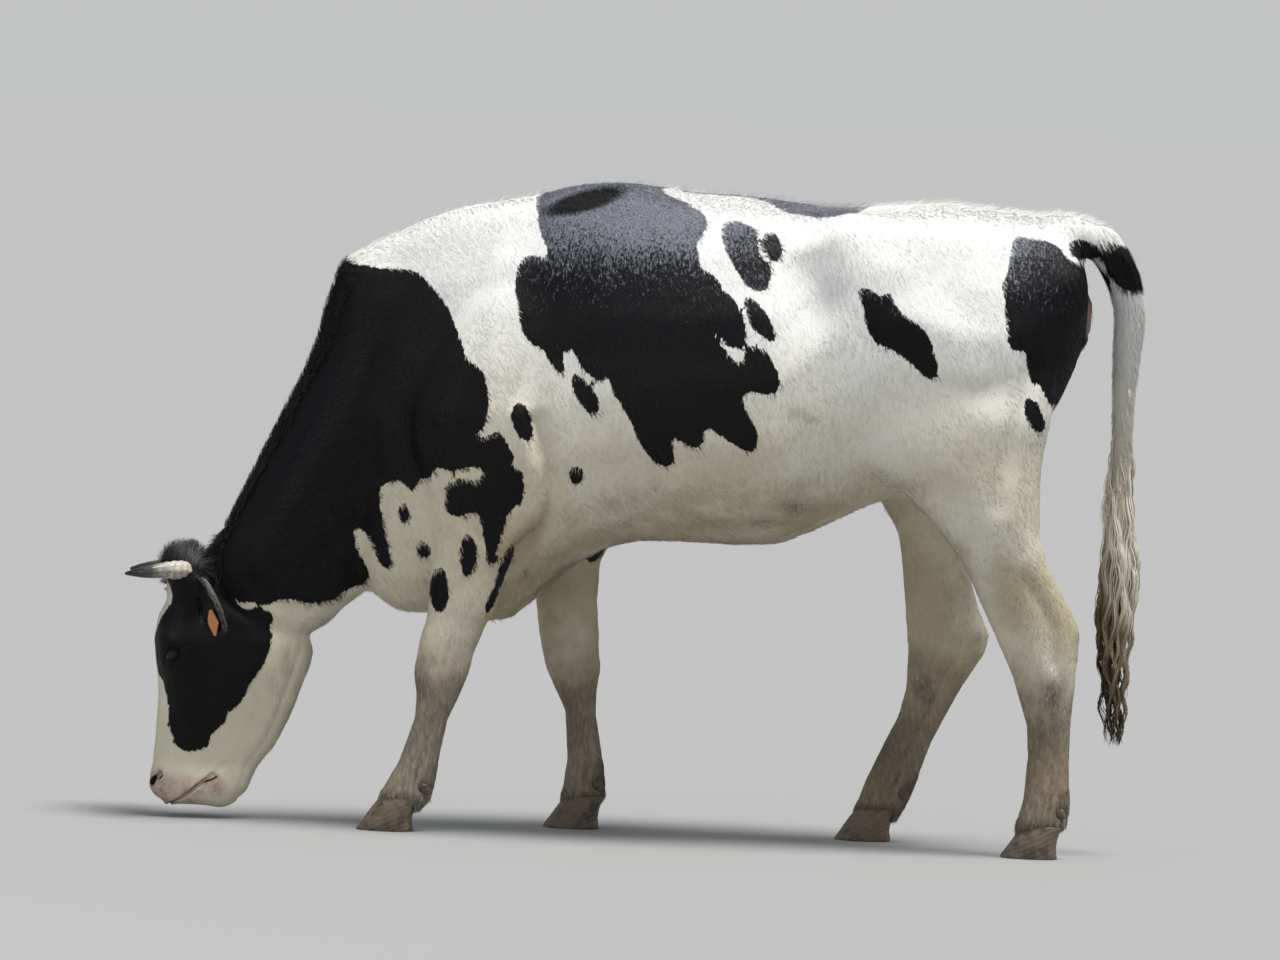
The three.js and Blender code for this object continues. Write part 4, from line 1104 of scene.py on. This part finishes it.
# %% [markdown]
# ## Horns
# A horn is a hollow cone of keratin. Rings stand close together at its pale base, and its
# polished tip is black. The CAD horn has the right bow, so a copy is remeshed finely and
# smoothed, and the rings are raised along its length.

# %% Horns
def remodel(names, called, voxel, rounds):
    """A smooth closed piece from copies of CAD nodes."""
    piece = copy_of(names, called)
    with_modifier(piece, "REMESH", mode="VOXEL", voxel_size=voxel)
    with_modifier(piece, "SMOOTH", factor=0.5, iterations=rounds)
    bpy.ops.object.shade_smooth()
    return piece


def finish(piece, slot, *replaced):
    """Seat a finished piece in the frame."""
    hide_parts(*replaced)
    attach(piece, "root")
    say(piece.name, piece)


HORN_RINGS, RING_HEIGHT = 9, 0.0008
IVORY, BONE, SLATE, JET = ((0.60, 0.56, 0.46), (0.34, 0.31, 0.25), (0.055, 0.050, 0.048),
                           (0.010, 0.009, 0.009))
horns = {}
for side in ("left", "right"):
    node = f"{side}_horn"
    horn = remodel([node], f"horn_{side}", 0.0022, 12)
    table = points_of(horn.data)
    out = normals_of(horn.data)
    base, tip = table[:, 0].max(), table[:, 0].min()
    run = (base - table[:, 0]) / (base - tip)
    rings = np.sin(run ** 0.8 * HORN_RINGS * 2 * math.pi) * RING_HEIGHT
    rings *= 1 - ease(run, 0.25, 0.6)
    table += out * rings[:, None]
    put_points(horn.data, table)
    store(horn, "run", run)
    horns[side] = horn

horn_keratin, t, shader = material("horn keratin", 0.36, Specular_Ior_Level=0.5,
                                   Coat_Weight=0.15, Coat_Roughness=0.3)
place, run = place_node(t), stored_node(t, "run")
streaks = noise_node(t, turned_node(t, place, 0.0, (0.16, 1.0, 1.0)), 260.0, 4.0, 0.6)
tip_line = scaled(t, noise_node(t, place, 38.0, 3.0), 0.30, run)
pale = blend_node(t, step_node(t, streaks, 0.35, 0.65), IVORY, BONE)
grey = blend_node(t, step_node(t, tip_line, 0.42, 0.80), pale, SLATE)
tipped = blend_node(t, step_node(t, tip_line, 0.72, 0.98), grey, JET)
fill(shader, Base_Color=tipped, Roughness=step_node(t, run, 0.0, 0.9, 0.55, 0.28))
bump_on(t, shader, streaks, 0.35, 0.0012)
for side, horn in horns.items():
    horn.data.materials.append(horn_keratin)
    finish(horn, "horn", f"{side}_horn")

# %% [markdown]
# ## Hooves
# Each foot has two claws of dark horn, and two small dewclaws behind. Growth lines run round the
# wall, parallel to the hairline, and dried earth sticks to it.

# %% Claws and dewclaws
SOLE, NEAR_SOLE, CLAW_TOP = 0.0015, 0.003, 0.03


def hoof_piece(foot):
    """The two claws and two dewclaws of one foot as one smoothed piece."""
    names = [n for n in nodes if n.startswith(foot) and "claw" in n]
    piece = remodel(names, f"hoof_{foot}", 0.0032, 9)
    table = points_of(piece.data)
    # A dewclaw is a small blunt stub that points down, half hidden by hair
    for name in names:
        low, high = (np.array(corner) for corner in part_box(name))
        if low[2] > CLAW_TOP:
            inside = ((table > low - 0.003) & (table < high + 0.003)).all(axis=1)
            lower = (high[2] - table[:, 2]) / (high[2] - low[2])
            thin = (0.86 - 0.30 * lower[:, None]) * inside[:, None] + ~inside[:, None]
            around = np.tile((low + high) / 2 - (0.004, 0.0, 0.0), (len(table), 1))
            around[:, 2] = table[:, 2]
            table = around + (table - around) * thin
    tall = table[:, 2]
    table[:, 2] = np.where(tall < SOLE + NEAR_SOLE, np.maximum(tall - SOLE, 0.0), tall)
    put_points(piece.data, table)
    return piece, names


hoof_horn, t, shader = material("hoof horn", 0.55, Specular_Ior_Level=0.4)
place = place_node(t)
growth = t.nodes.new("ShaderNodeTexWave")
growth.bands_direction = "Z"
fill(growth, Vector=turned_node(t, place, 24), Scale=30.0, Distortion=0.8, Detail=2.0)
DARK_HORN, PALE_HORN, DUST = (0.060, 0.049, 0.038), (0.080, 0.065, 0.050), (0.165, 0.122, 0.082)
dust = noise_node(t, place, 34.0, 5.0, 0.65)
wall = blend_node(t, step_node(t, growth.outputs["Fac"], 0.3, 0.8), DARK_HORN, PALE_HORN)
dusty = blend_node(t, step_node(t, dust, 0.36, 0.60), wall, DUST)
fill(shader, Base_Color=dusty, Roughness=step_node(t, dust, 0.40, 0.65, 0.42, 0.85))
bump_on(t, shader, scaled(t, dust, 0.8, growth.outputs["Fac"]), 0.35, 0.0012)
for pair in ("fore", "hind"):
    for side in ("left", "right"):
        hoof, names = hoof_piece(f"{pair}leg_{side}")
        hoof.data.materials.append(hoof_horn)
        finish(hoof, "hoof", *names)

# %% [markdown]
# ## Eyes
# A cow's eye is large and almost black: a dark brown iris round a wide level pupil, under a
# clear wet cornea. The ball is a sphere turned to look out of the head, with the cornea raised
# in front. Its colours follow the distance from the direction of sight.

# %% Eyeballs
CORNEA_BULGE, LID_GAP = 0.0010, 0.0008
PUPIL, IRIS = (0.0085, 0.0048), (0.0150, 0.0135)
wet_eye, t, shader = material("wet eye", 0.07, Specular_Ior_Level=0.28)
sight = stored_node(t, "sight_along"), stored_node(t, "sight_up")
pupil, iris = (squares(t, *(math_node(t, "DIVIDE", way, size) for way, size in zip(sight, half)))
               for half in (PUPIL, IRIS))
DARK_IRIS, PALE_IRIS = (0.010, 0.006, 0.004), (0.020, 0.011, 0.006)
PUPIL_BLACK, EYE_WHITE = (0.002, 0.002, 0.004), (0.028, 0.019, 0.016)
brown = blend_node(t, noise_node(t, place_node(t), 420.0, 3.0), DARK_IRIS, PALE_IRIS)
seen = blend_node(t, step_node(t, pupil, 0.85, 1.15), PUPIL_BLACK, brown)
seen = blend_node(t, step_node(t, iris, 0.90, 1.10), seen, EYE_WHITE)
fill(shader, Base_Color=seen)
for side, centre in EYES.items():
    outward, along, brow = eye_axes(side)
    pick(skin)
    bpy.ops.mesh.primitive_uv_sphere_add(segments=64, ring_count=40, radius=EYE_RADIUS - LID_GAP)
    ball = bpy.context.object
    ball.name = ball.data.name = f"eyeball_{side}"
    table = points_of(ball.data)
    table[:, 2] += CORNEA_BULGE * ease(table[:, 2] / EYE_RADIUS, 0.80, 1.0)
    store(ball, "sight_along", table[:, 0])
    store(ball, "sight_up", table[:, 1])
    spun = np.outer(table[:, 0], along) + np.outer(table[:, 1], brow)
    spun += np.outer(table[:, 2], outward)
    put_points(ball.data, spun + np.array(centre))
    edit(face_outward)
    bpy.ops.object.shade_smooth()
    ball.data.materials.append(wet_eye)
    finish(ball, "eye", f"{side}_eye")

# %% [markdown]
# ## Ear tags
# Plain plastic flags, faded by the sun. They carry no numbers here. The CAD flags have the right
# shape, so they stay and get a scuffed plastic.

# %% Tag plastic
tag_plastic, t, shader = material("tag plastic", 0.42, Subsurface_Weight=0.08)
ORANGE, FADED, GRIME = (0.60, 0.190, 0.030), (0.68, 0.270, 0.070), (0.22, 0.13, 0.06)
place = place_node(t)
grime = noise_node(t, place, 240.0, 4.0, 0.7)
faded = blend_node(t, step_node(t, noise_node(t, place, 60.0, 3.0), 0.35, 0.65), ORANGE, FADED)
grimy = blend_node(t, step_node(t, grime, 0.58, 0.75, 0.0, 0.6), faded, GRIME)
fill(shader, Base_Color=grimy, Roughness=step_node(t, grime, 0.4, 0.7, 0.35, 0.65))
bump_on(t, shader, grime, 0.2, 0.0005)
for side in ("left", "right"):
    tag = nodes[f"{side}_ear_tag"]
    tag.data.materials.clear()
    tag.data.materials.append(tag_plastic)

# %% [markdown]
# ## The coat
# A cow's summer coat is short and flat, so most of it is the grain in the hide's material. Over
# that grow many small tufts of solid mesh that overlap like thatch and follow the lie of the
# hair, and longer ones where the coat breaks the outline: along the back, the crest of the neck,
# the poll, the ears, the brisket and the belly. Each tuft is a thin three-sided spike. All
# tufts of a region are one mesh, written as tables of points, because there are thousands.

# %% An unwrap of the skin, which places the tufts' own map
pick(skin)
edit(lambda: bpy.ops.uv.smart_project(angle_limit=math.radians(70), island_margin=0.001))
skin_mesh = skin.data
skin_mesh.calc_loop_triangles()
triangle_points = read(skin_mesh.loop_triangles, "vertices", 3, np.int32)
triangle_loops = read(skin_mesh.loop_triangles, "loops", 3, np.int32)
flat_map = read(skin_mesh.uv_layers[0].data, "uv", 2)
skin_points = points_of(skin_mesh)
skin_out = normals_of(skin_mesh)
corners = skin_points[triangle_points]
middles = corners.mean(axis=1)
middle_out = skin_out[triangle_points].mean(axis=1)
areas = np.linalg.norm(np.cross(corners[:, 1] - corners[:, 0], corners[:, 2] - corners[:, 0]),
                       axis=1) / 2
print("skin area", round(float(areas.sum()), 2), "square metres")

# %% Where the roots are
COAT_SEED = 7
dice = np.random.default_rng(COAT_SEED)


def scatter(count, wanted):
    """Random roots over the skin, as many per area as wanted says for each triangle."""
    weight = np.cumsum(areas * wanted)
    chosen = np.searchsorted(weight, dice.random(count) * weight[-1])
    share = dice.random((count, 2))
    share = np.where(share.sum(axis=1, keepdims=True) > 1, 1 - share, share)
    share = np.column_stack([1 - share.sum(axis=1), share])
    ids = triangle_points[chosen]
    place = (skin_points[ids] * share[:, :, None]).sum(axis=1)
    out = (skin_out[ids] * share[:, :, None]).sum(axis=1)
    out /= np.linalg.norm(out, axis=1, keepdims=True)
    black = (skin_black[ids] * share).sum(axis=1)
    soil_and_shade = (skin_soil_and_shade[ids] * share).sum(axis=1)
    flat = (flat_map[triangle_loops[chosen]] * share[:, :, None]).sum(axis=1)
    return place, out, black, soil_and_shade, flat


def ripple(places, wavelength, seed):
    """A smooth wandering number between about -1 and 1 over the body."""
    waves = np.random.default_rng(seed)
    total = np.zeros(len(places))
    for _ in range(5):
        direction = waves.normal(size=3)
        direction *= 2 * math.pi / (wavelength * np.linalg.norm(direction))
        total += np.sin(places @ direction + waves.random() * 6.3)
    return total / 2.5

# %% Which way the hair lies
def lie_of_hair(places, out):
    """The direction of the hair along the skin, from root to tip."""
    flow = np.tile((0.50, 0.0, -0.86), (len(places), 1))

    def turn_to(direction, share):
        flow[:] = flow * (1 - share[:, None]) + np.array(direction) * share[:, None]

    neck = (1 - ease(places[:, 0], -0.62, -0.42)) * ease(places[:, 2], 0.45, 0.65)
    turn_to((0.95, 0.0, 0.05), neck)
    turn_to((0.12, 0.0, -1.0), leg_share(places))
    head = head_share(places)
    turn_to((0.55, 0.0, -0.60), head)
    front = ease(-places[:, 0], 0.90, 0.97)
    turn_to((0.0, 0.0, -1.0), head * front)
    turn_to((0.10, 0.0, 1.0), head * front * ease(places[:, 2], 0.37, 0.45))
    turn_to((0.36, -0.74, -0.57), near_box(places, EAR_BOXES[0], 0.01))
    turn_to((-0.50, 0.86, -0.10), near_box(places, EAR_BOXES[1], 0.01))
    turn_to((0.25, 0.0, -1.0), ease(places[:, 0], 0.96, 1.02))
    flow += out * 1e-6
    flow -= out * (flow * out).sum(axis=1, keepdims=True)
    size = np.linalg.norm(flow, axis=1, keepdims=True)
    flow = np.where(size > 0.05, flow / np.maximum(size, 1e-6), np.cross(out, (0.0, 1.0, 0.0)))
    swirl = ripple(places, 0.16, 3) * 0.22 + dice.normal(size=len(places)) * 0.20
    across = np.cross(out, flow)
    flow = flow * np.cos(swirl)[:, None] + across * np.sin(swirl)[:, None]
    return flow / np.linalg.norm(flow, axis=1, keepdims=True)

# %% From spines to solid spikes
# A spike's corners, as a turn about its spine, and how far they stand off the skin
CORNERS = ((0.0, 1.0), (2.1, 0.55), (4.2, 0.55))
SIDES = len(CORNERS)
MAP_HALF = 0.0015


def spikes(called, spine, radius, across, out, black, flat, softness):
    """One mesh of tapering three-sided spikes. spine holds each tuft's rings and its tip."""
    count, rings = radius.shape
    corners = []
    for turn, flatness in CORNERS:
        offset = across * math.cos(turn) + out * math.sin(turn) * flatness
        corners.append(spine[:, :rings] + offset[:, None, :] * radius[:, :, None])
    body = np.stack(corners, axis=2).reshape(count, rings * SIDES, 3)
    points = np.concatenate([body, spine[:, -1:]], axis=1)
    each = rings * SIDES + 1
    pattern = [[2, 1, 0]]
    for ring in range(rings - 1):
        for side in range(SIDES):
            a, b = ring * SIDES + side, ring * SIDES + (side + 1) % SIDES
            pattern += [[a, b, b + SIDES], [a, b + SIDES, a + SIDES]]
    last = (rings - 1) * SIDES
    pattern += [[last + side, last + (side + 1) % SIDES, each - 1] for side in range(SIDES)]
    pattern = np.array(pattern)
    # Turn every face over if the first spike came out inside out
    centred = points[0] - points[0].mean(axis=0)
    if sum(np.dot(centred[a], np.cross(centred[b], centred[c])) for a, b, c in pattern) < 0:
        pattern = pattern[:, ::-1]
    faces = (pattern[None] + (np.arange(count) * each)[:, None, None]).reshape(-1, 3)
    mesh = bpy.data.meshes.new(called)
    mesh.vertices.add(count * each)
    mesh.vertices.foreach_set("co", points.astype(np.float32).ravel())
    mesh.loops.add(len(faces) * 3)
    mesh.loops.foreach_set("vertex_index", faces.astype(np.int32).ravel())
    mesh.polygons.add(len(faces))
    mesh.polygons.foreach_set("loop_start", np.arange(0, len(faces) * 3, 3, dtype=np.int32))
    mesh.update(calc_edges=True)
    # The tuft's own small patch on the skin's map
    rise = np.linspace(-MAP_HALF, MAP_HALF, rings + 1)
    patch = [(MAP_HALF * math.cos(turn), rise[ring]) for ring in range(rings)
             for turn, _ in CORNERS] + [(0.0, MAP_HALF)]
    spots = flat[:, None, :] + np.array(patch)[None]
    layer = mesh.uv_layers.new(name="OFBake")
    layer.data.foreach_set("uv", spots.reshape(-1, 2)[faces.ravel()].astype(np.float32).ravel())
    piece = link(bpy.data.objects.new(called, mesh))
    store(piece, "black", np.repeat(black, each))
    store(piece, "shade", np.repeat(dice.random(count), each))
    # Soft shading: each tuft mostly takes the direction of the skin under it
    mesh.polygons.foreach_set("use_smooth", np.ones(len(faces), bool))
    own = normals_of(mesh)
    mixed = np.repeat(out, each, axis=0) * softness + own * (1 - softness)
    mixed /= np.maximum(np.linalg.norm(mixed, axis=1, keepdims=True), 1e-6)
    mesh.normals_split_custom_set_from_vertices(mixed.astype(np.float32))
    return piece


def tufts(called, count, wanted, length, width, lift, rings=1, sunk=0.0006, frost=0.0,
          softness=0.90):
    """Tufts over the skin. length, width and lift are numbers, or functions of root and out."""
    place, out, black, soil_and_shade, flat = scatter(count, wanted)

    def number(value):
        found = value(place, out) if callable(value) else np.full(count, value)
        return found * (0.75 + 0.5 * dice.random(count))

    long, wide, angle = number(length), number(width), number(lift)
    along = lie_of_hair(place, out)
    across = np.cross(out, along)
    spine = [place - out * sunk]
    for ring in range(rings):
        bend = angle * (1.25 - 0.75 * ring / max(rings - 1, 1)) if rings > 1 else angle
        step = along * np.cos(bend)[:, None] + out * np.sin(bend)[:, None]
        spine.append(spine[-1] + step * (long / rings)[:, None])
    spine = np.stack(spine, axis=1)
    taper = np.array([1.0, 0.75, 0.5])[:rings]
    radius = (wide / 2)[:, None] * taper
    piece = spikes(called, spine, radius, across, out, black, flat, softness)
    each = len(piece.data.vertices) // count
    store(piece, "soil_and_shade", np.repeat(soil_and_shade, each))
    rise = np.tile(np.linspace(0.3, 1.0, each), count)
    store(piece, "frost", rise * np.repeat(frost * dice.random(count) ** 0.7, each))
    piece.data.materials.append(coat_hair)
    finish(piece, "coat")


# %% Hair, the material of every tuft
coat_hair, t, shader = material("coat hair", 0.50, Specular_Ior_Level=0.20)
coat = use(t, coat_colour, Ragged=0.0, Hair_Variation=0.14)
fill(shader, Base_Color=coat.outputs["Color"],
     Roughness=step_node(t, coat.outputs["Black"], 0.0, 1.0, 0.62, 0.42))

# %% Short hair over trunk, neck, legs and head
from_front, aside, tall = middles[:, 0], np.abs(middles[:, 1]), middles[:, 2]
facing_up = middle_out[:, 2]
on_head, on_leg, on_ear = head_share(middles), leg_share(middles), ear_share(middles)
on_tail = ease(from_front, 0.96, 0.98)
bare_nose = ease(bare[triangle_points].mean(axis=1), 0.25, 0.55)
bare_nose = np.maximum(bare_nose, to_eyes(middles) < EYE_RADIUS + 0.006)
on_trunk = (1 - on_head) * (1 - on_leg) * (1 - on_ear) * (1 - bare_nose * (from_front > 0.8))
BODY_LENGTH, HEAD_LENGTH, LEG_LENGTH = 0.015, 0.0058, 0.0095


def body_length(place, out):
    """Longer below the chest and belly and on the back of the thighs."""
    below = ease(-out[:, 2], 0.15, 0.75)
    above = ease(out[:, 2], 0.45, 0.95)
    return BODY_LENGTH * (1 + 0.55 * below + 0.30 * above)


def leg_length(place, out):
    """Shorter towards the foot, longer behind the fetlock."""
    tuft_behind = bell(place[:, 2] - 0.12, 0.04) * ease(out[:, 0], 0.2, 0.8)
    return LEG_LENGTH * (0.75 + 0.25 * ease(place[:, 2], 0.1, 0.5)) * (1 + 1.2 * tuft_behind)


regions = (("coat_fore", from_front < -0.33),
           ("coat_middle", (from_front >= -0.33) & (from_front < 0.30)),
           ("coat_rear", from_front >= 0.30))
for called, inside in regions:
    tufts(called, 44000, on_trunk * inside, body_length, 0.0025, 0.075)
tufts("coat_legs", 42000, on_leg, leg_length, 0.0020, 0.12)
tufts("coat_head", 40000, np.maximum(on_head, on_ear) * (1 - bare_nose), HEAD_LENGTH, 0.0015,
      0.10, sunk=0.0003)

# %% Longer hair that breaks the outline
crest = (aside < 0.05) * ease(-middle_out[:, 0], 0.2, 0.7)
crest = crest * (tall > 0.52) * (from_front < -0.55) * (1 - on_ear)
back = ease(facing_up, 0.75, 0.97) * (tall > 1.15) * (aside < 0.12)
poll = near_box(middles, ((-1.00, -0.06, 0.535), (-0.90, 0.06, 0.60)), 0.03)
tufts("coat_back", 13000, back, 0.015, 0.0019, 0.16, rings=2, softness=0.96)
tufts("coat_crest", 7000, crest, 0.019, 0.0017, 0.45, rings=2, frost=0.10)
tufts("coat_poll", 2200, poll, 0.026, 0.0016, 0.80, rings=3, frost=0.12, softness=0.70)
wisps = ease(facing_up, 0.80, 0.98) * (tall > 1.10)
wisps = wisps * (aside < 0.10) * (1.0 + 4.0 * ease(from_front, 0.60, 0.90))
tufts("coat_wisps", 2400, wisps, 0.022, 0.0010, 0.75, rings=3, softness=0.96)
belly_line = ease(-facing_up, 0.4, 0.9) * (tall > 0.40) * (1 - on_head)
tufts("coat_belly", 8000, belly_line * (1 - on_leg), 0.020, 0.0018, 0.24, rings=2)
# The way each ear's leaf faces, and the rim, which faces neither way
LEAF_OUT = np.array([(-0.50, -0.72, -0.40), (-0.50, -0.20, -0.84)])
ear_face = np.abs(np.where(middles[:, 1] < 0, *(middle_out @ leaf for leaf in LEAF_OUT)))
ear_rim = on_ear * (aside > 0.120) * ease(1 - ear_face, 0.25, 0.70)
ear_rim = ear_rim * ease(middle_out @ np.array((0.60, 0.0, 0.80)), -0.1, 0.5)
tufts("coat_ears", 2600, ear_rim, 0.016, 0.0011, 0.50, rings=2, sunk=0.0003, frost=0.75,
      softness=0.60)
coronet = on_leg * between(tall, 0.062, 0.086, 0.006)
tufts("coat_coronet", 5500, coronet, 0.022, 0.0019, 0.16, rings=2)
dewclaws = on_leg * between(tall, 0.108, 0.150, 0.010) * ease(middle_out[:, 0], 0.1, 0.5)
tufts("coat_fetlock", 2500, dewclaws, 0.016, 0.0017, 0.14, rings=2)
tail_top = on_tail * (tall > 0.80)
tufts("coat_tail", 8000, tail_top, 0.024, 0.0016, 0.26, rings=2)

# %% [markdown]
# ## The switch
# The tail ends in a long brush of wavy hair, cream at the top and brown with soil at the ends.
# Its locks hang from the dock, part slightly and wave together, so neighbouring locks share
# their wave.

# %% Locks of the tail
SWITCH_LOCKS = 620
SWITCH_RINGS = 21
SWITCH_TOP, DOCK_END, SWITCH_END = 1.02, 0.775, 0.236
tail_strip = skin_points[(skin_points[:, 0] > 0.96) & (skin_points[:, 2] < 1.12)]


def dock_centre(height):
    """The middle of the tail's fleshy part at a height."""
    level = np.clip(height, DOCK_END + 0.01, 1.11)
    found = [tail_strip[np.abs(tail_strip[:, 2] - z) < 0.02].mean(axis=0) for z in level]
    return np.array(found)


root_z = SWITCH_TOP - (SWITCH_TOP - DOCK_END) * dice.random(SWITCH_LOCKS) ** 0.6
angle = dice.random(SWITCH_LOCKS) * 2 * math.pi
rim = np.column_stack([np.cos(angle), np.sin(angle), np.zeros(SWITCH_LOCKS)])
centre = dock_centre(root_z)
root = np.column_stack([centre[:, 0], centre[:, 1], root_z]) + rim * 0.011
end_z = SWITCH_END + 0.30 * dice.random(SWITCH_LOCKS) ** 1.7
end_z = np.where(root_z > 0.90, end_z + 0.22, end_z)
MIDDLE_LINE = [(0.22, 1.058), (0.32, 1.050), (0.42, 1.046), (0.55, 1.046), (0.70, 1.044),
               (0.80, 1.040), (1.05, 1.040)]
HALF_WIDTH = [(0.22, 0.014), (0.30, 0.024), (0.40, 0.036), (0.52, 0.040), (0.65, 0.038),
              (0.78, 0.026), (1.05, 0.014)]
share = np.linspace(0, 1, SWITCH_RINGS + 1)[None]
z = root_z[:, None] * (1 - share) + end_z[:, None] * share
line_z, line_x = zip(*MIDDLE_LINE)
wide_z, half = zip(*HALF_WIDTH)
width_here = np.interp(z, wide_z, half)
fall = ease(share, 0.0, 0.35)
# Locks gather in strands towards the ends, and each strand has its own wave
STRANDS = 17
strand_of = (angle / (2 * math.pi) * STRANDS).astype(int)
strand_turn = (np.arange(STRANDS) + 0.5) * 2 * math.pi / STRANDS
strand_out = 0.25 + 0.85 * dice.random(STRANDS)
strand_wave = dice.random(STRANDS) * 2 * math.pi
gather = ease(-z, -0.62, -0.34) * 0.78
own = np.sqrt(dice.random(SWITCH_LOCKS))[:, None] * 0.65 + 0.35
far = own * (1 - gather) + strand_out[strand_of][:, None] * gather
turned = angle[:, None] * (1 - gather) + strand_turn[strand_of][:, None] * gather
phase = strand_wave[strand_of][:, None]
loose = dice.normal(size=(SWITCH_LOCKS, 1)) * 0.0022
swing = np.sin(z * 66 + phase) * (0.0030 + 0.0050 * gather) * fall
drift = np.sin(z * 24 + phase * 2.0) * 0.0050 * fall
wave = np.cos(z * 58 + phase) * 0.0042
x = np.interp(z, line_z, line_x) + np.cos(turned) * width_here * far + swing + drift + loose
y = np.sin(turned) * width_here * far * 0.72 + wave + loose
x = x * fall + root[:, :1] * (1 - fall)
y = y * fall + root[:, 1:2] * (1 - fall)
spine = np.stack([x, y, z], axis=2)
thick = 0.0021 * (0.6 + 0.8 * dice.random(SWITCH_LOCKS))[:, None]
radius = thick * np.interp(share[:, :-1], (0, 0.15, 0.7, 1.0), (0.6, 1.0, 0.9, 0.35))
near_root = np.array([np.argmin(((skin_points[triangle_points[:, 0]] - spot) ** 2).sum(axis=1))
                      for spot in root])
flat = flat_map[triangle_loops[near_root, 0]]
across = np.cross(rim, (0.0, 0.0, 1.0))
switch = spikes("switch_locks", spine, radius, across, rim, np.full(SWITCH_LOCKS, -0.05), flat,
                softness=0.12)
switch_hair, t, shader = material("switch hair", 0.45, Specular_Ior_Level=0.35)
IVORY_LOCK, STRAW_LOCK = (0.84, 0.80, 0.70), (0.62, 0.56, 0.42)
TAN, BROWN = (0.25, 0.18, 0.10), (0.046, 0.028, 0.016)
place, lock = place_node(t), stored_node(t, "shade")
axis_x, axis_z = axes_node(t, place)
level = scaled(t, lock, 0.16, scaled(t, noise_node(t, place, 16.0, 3.0), 0.14, axis_z))
level = math_node(t, "ADD", level, scaled(t, axis_x, 2.4, -2.51))
clean = blend_node(t, lock, IVORY_LOCK, STRAW_LOCK)
stained = blend_node(t, step_node(t, level, 0.80, 0.58), clean, TAN)
stained = blend_node(t, step_node(t, level, 0.60, 0.42), stained, BROWN)
fill(shader, Base_Color=stained)
switch.data.materials.append(switch_hair)
finish(switch, "switch_hair", "tail_switch")
skin_mesh.uv_layers.remove(skin_mesh.uv_layers[0])

# %% Shade the skin smooth, hide the flesh nodes it replaces and hang it on the frame
bpy.context.view_layer.objects.active = skin
bpy.ops.object.shade_smooth()
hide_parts(*FLESH)
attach(skin, "root")

# %% [markdown]
# ## Floor, light and camera
# A pale floor and large soft lamps, as in a museum. The camera looks at the cow's left side from
# 22 m with a long lens, a little above the back, and is rolled by two and a half degrees.

# %% The floor
FLOOR_RADIUS = 300.0
bpy.ops.mesh.primitive_circle_add(vertices=128, radius=FLOOR_RADIUS, fill_type="NGON")
floor = bpy.context.object
floor.name = "floor"
floor_paint, _, shader = material("pale floor", 0.85, Base_Color=(0.31, 0.31, 0.306))
floor.data.materials.append(floor_paint)

# %% Soft lamps and a pale sky
def lamp(name, kind, at, aim, power, colour, **settings):
    """A lamp that points at a place."""
    light = bpy.data.lights.new(name, kind)
    light.energy, light.color = power, colour
    for setting, value in settings.items():
        setattr(light, setting, value)
    thing = link(bpy.data.objects.new(name, light))
    thing.location = at
    thing.rotation_euler = (Vector(aim) - Vector(at)).to_track_quat("-Z", "Y").to_euler()


lamp("fill lamp", "AREA", (-5.0, -7.0, 3.5), (0.0, 0.0, 0.7), 90, (0.94, 0.97, 1.0), size=4.0)
lamp("high light", "SUN", (0.0, 0.0, 0.0), (-0.26, 0.10, -1.0), 4.2, (1.0, 0.985, 0.96),
     angle=math.radians(26))
world = bpy.data.worlds.new("studio")
world.use_nodes = True
t = world.node_tree
glow = t.nodes["Background"]
fill(glow, Color=(0.86, 0.92, 1.0), Strength=0.45)
backdrop = t.nodes.new("ShaderNodeBackground")
fill(backdrop, Color=(0.540, 0.548, 0.548))
seen_directly = t.nodes.new("ShaderNodeLightPath").outputs["Is Camera Ray"]
either = t.nodes.new("ShaderNodeMixShader")
for socket, value in zip(either.inputs, (seen_directly, glow.outputs[0], backdrop.outputs[0])):
    feed(socket, value)
fill(t.nodes["World Output"], Surface=either.outputs[0])
bpy.context.scene.world = world
bpy.context.scene.view_settings.view_transform = "Standard"

# %% The camera
ROLL, RISE = math.radians(2.5), math.radians(2.3)
AIM, DISTANCE = Vector((0.0045, 0.0, 0.769)), 22.0
LENS, SENSOR, SIGHT = 286.5, 36.0, 500.0
camera_data = bpy.data.cameras.new("camera")
camera = link(bpy.data.objects.new("camera", camera_data))
backward = Vector((0.0, -math.cos(RISE), math.sin(RISE)))
camera.location = AIM + backward * DISTANCE
level = Vector((1.0, 0.0, 0.0))
upward = backward.cross(level)
right = level * math.cos(ROLL) + upward * math.sin(ROLL)
upright = backward.cross(right)
matrix = camera.matrix_world.to_3x3()
matrix.col[0], matrix.col[1], matrix.col[2] = right, upright, backward
camera.rotation_euler = matrix.to_euler()
camera_data.lens, camera_data.sensor_width = LENS, SENSOR
camera_data.clip_end = SIGHT
bpy.context.scene.camera = camera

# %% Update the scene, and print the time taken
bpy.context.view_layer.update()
print("finished in", round(time.time() - started), "s")
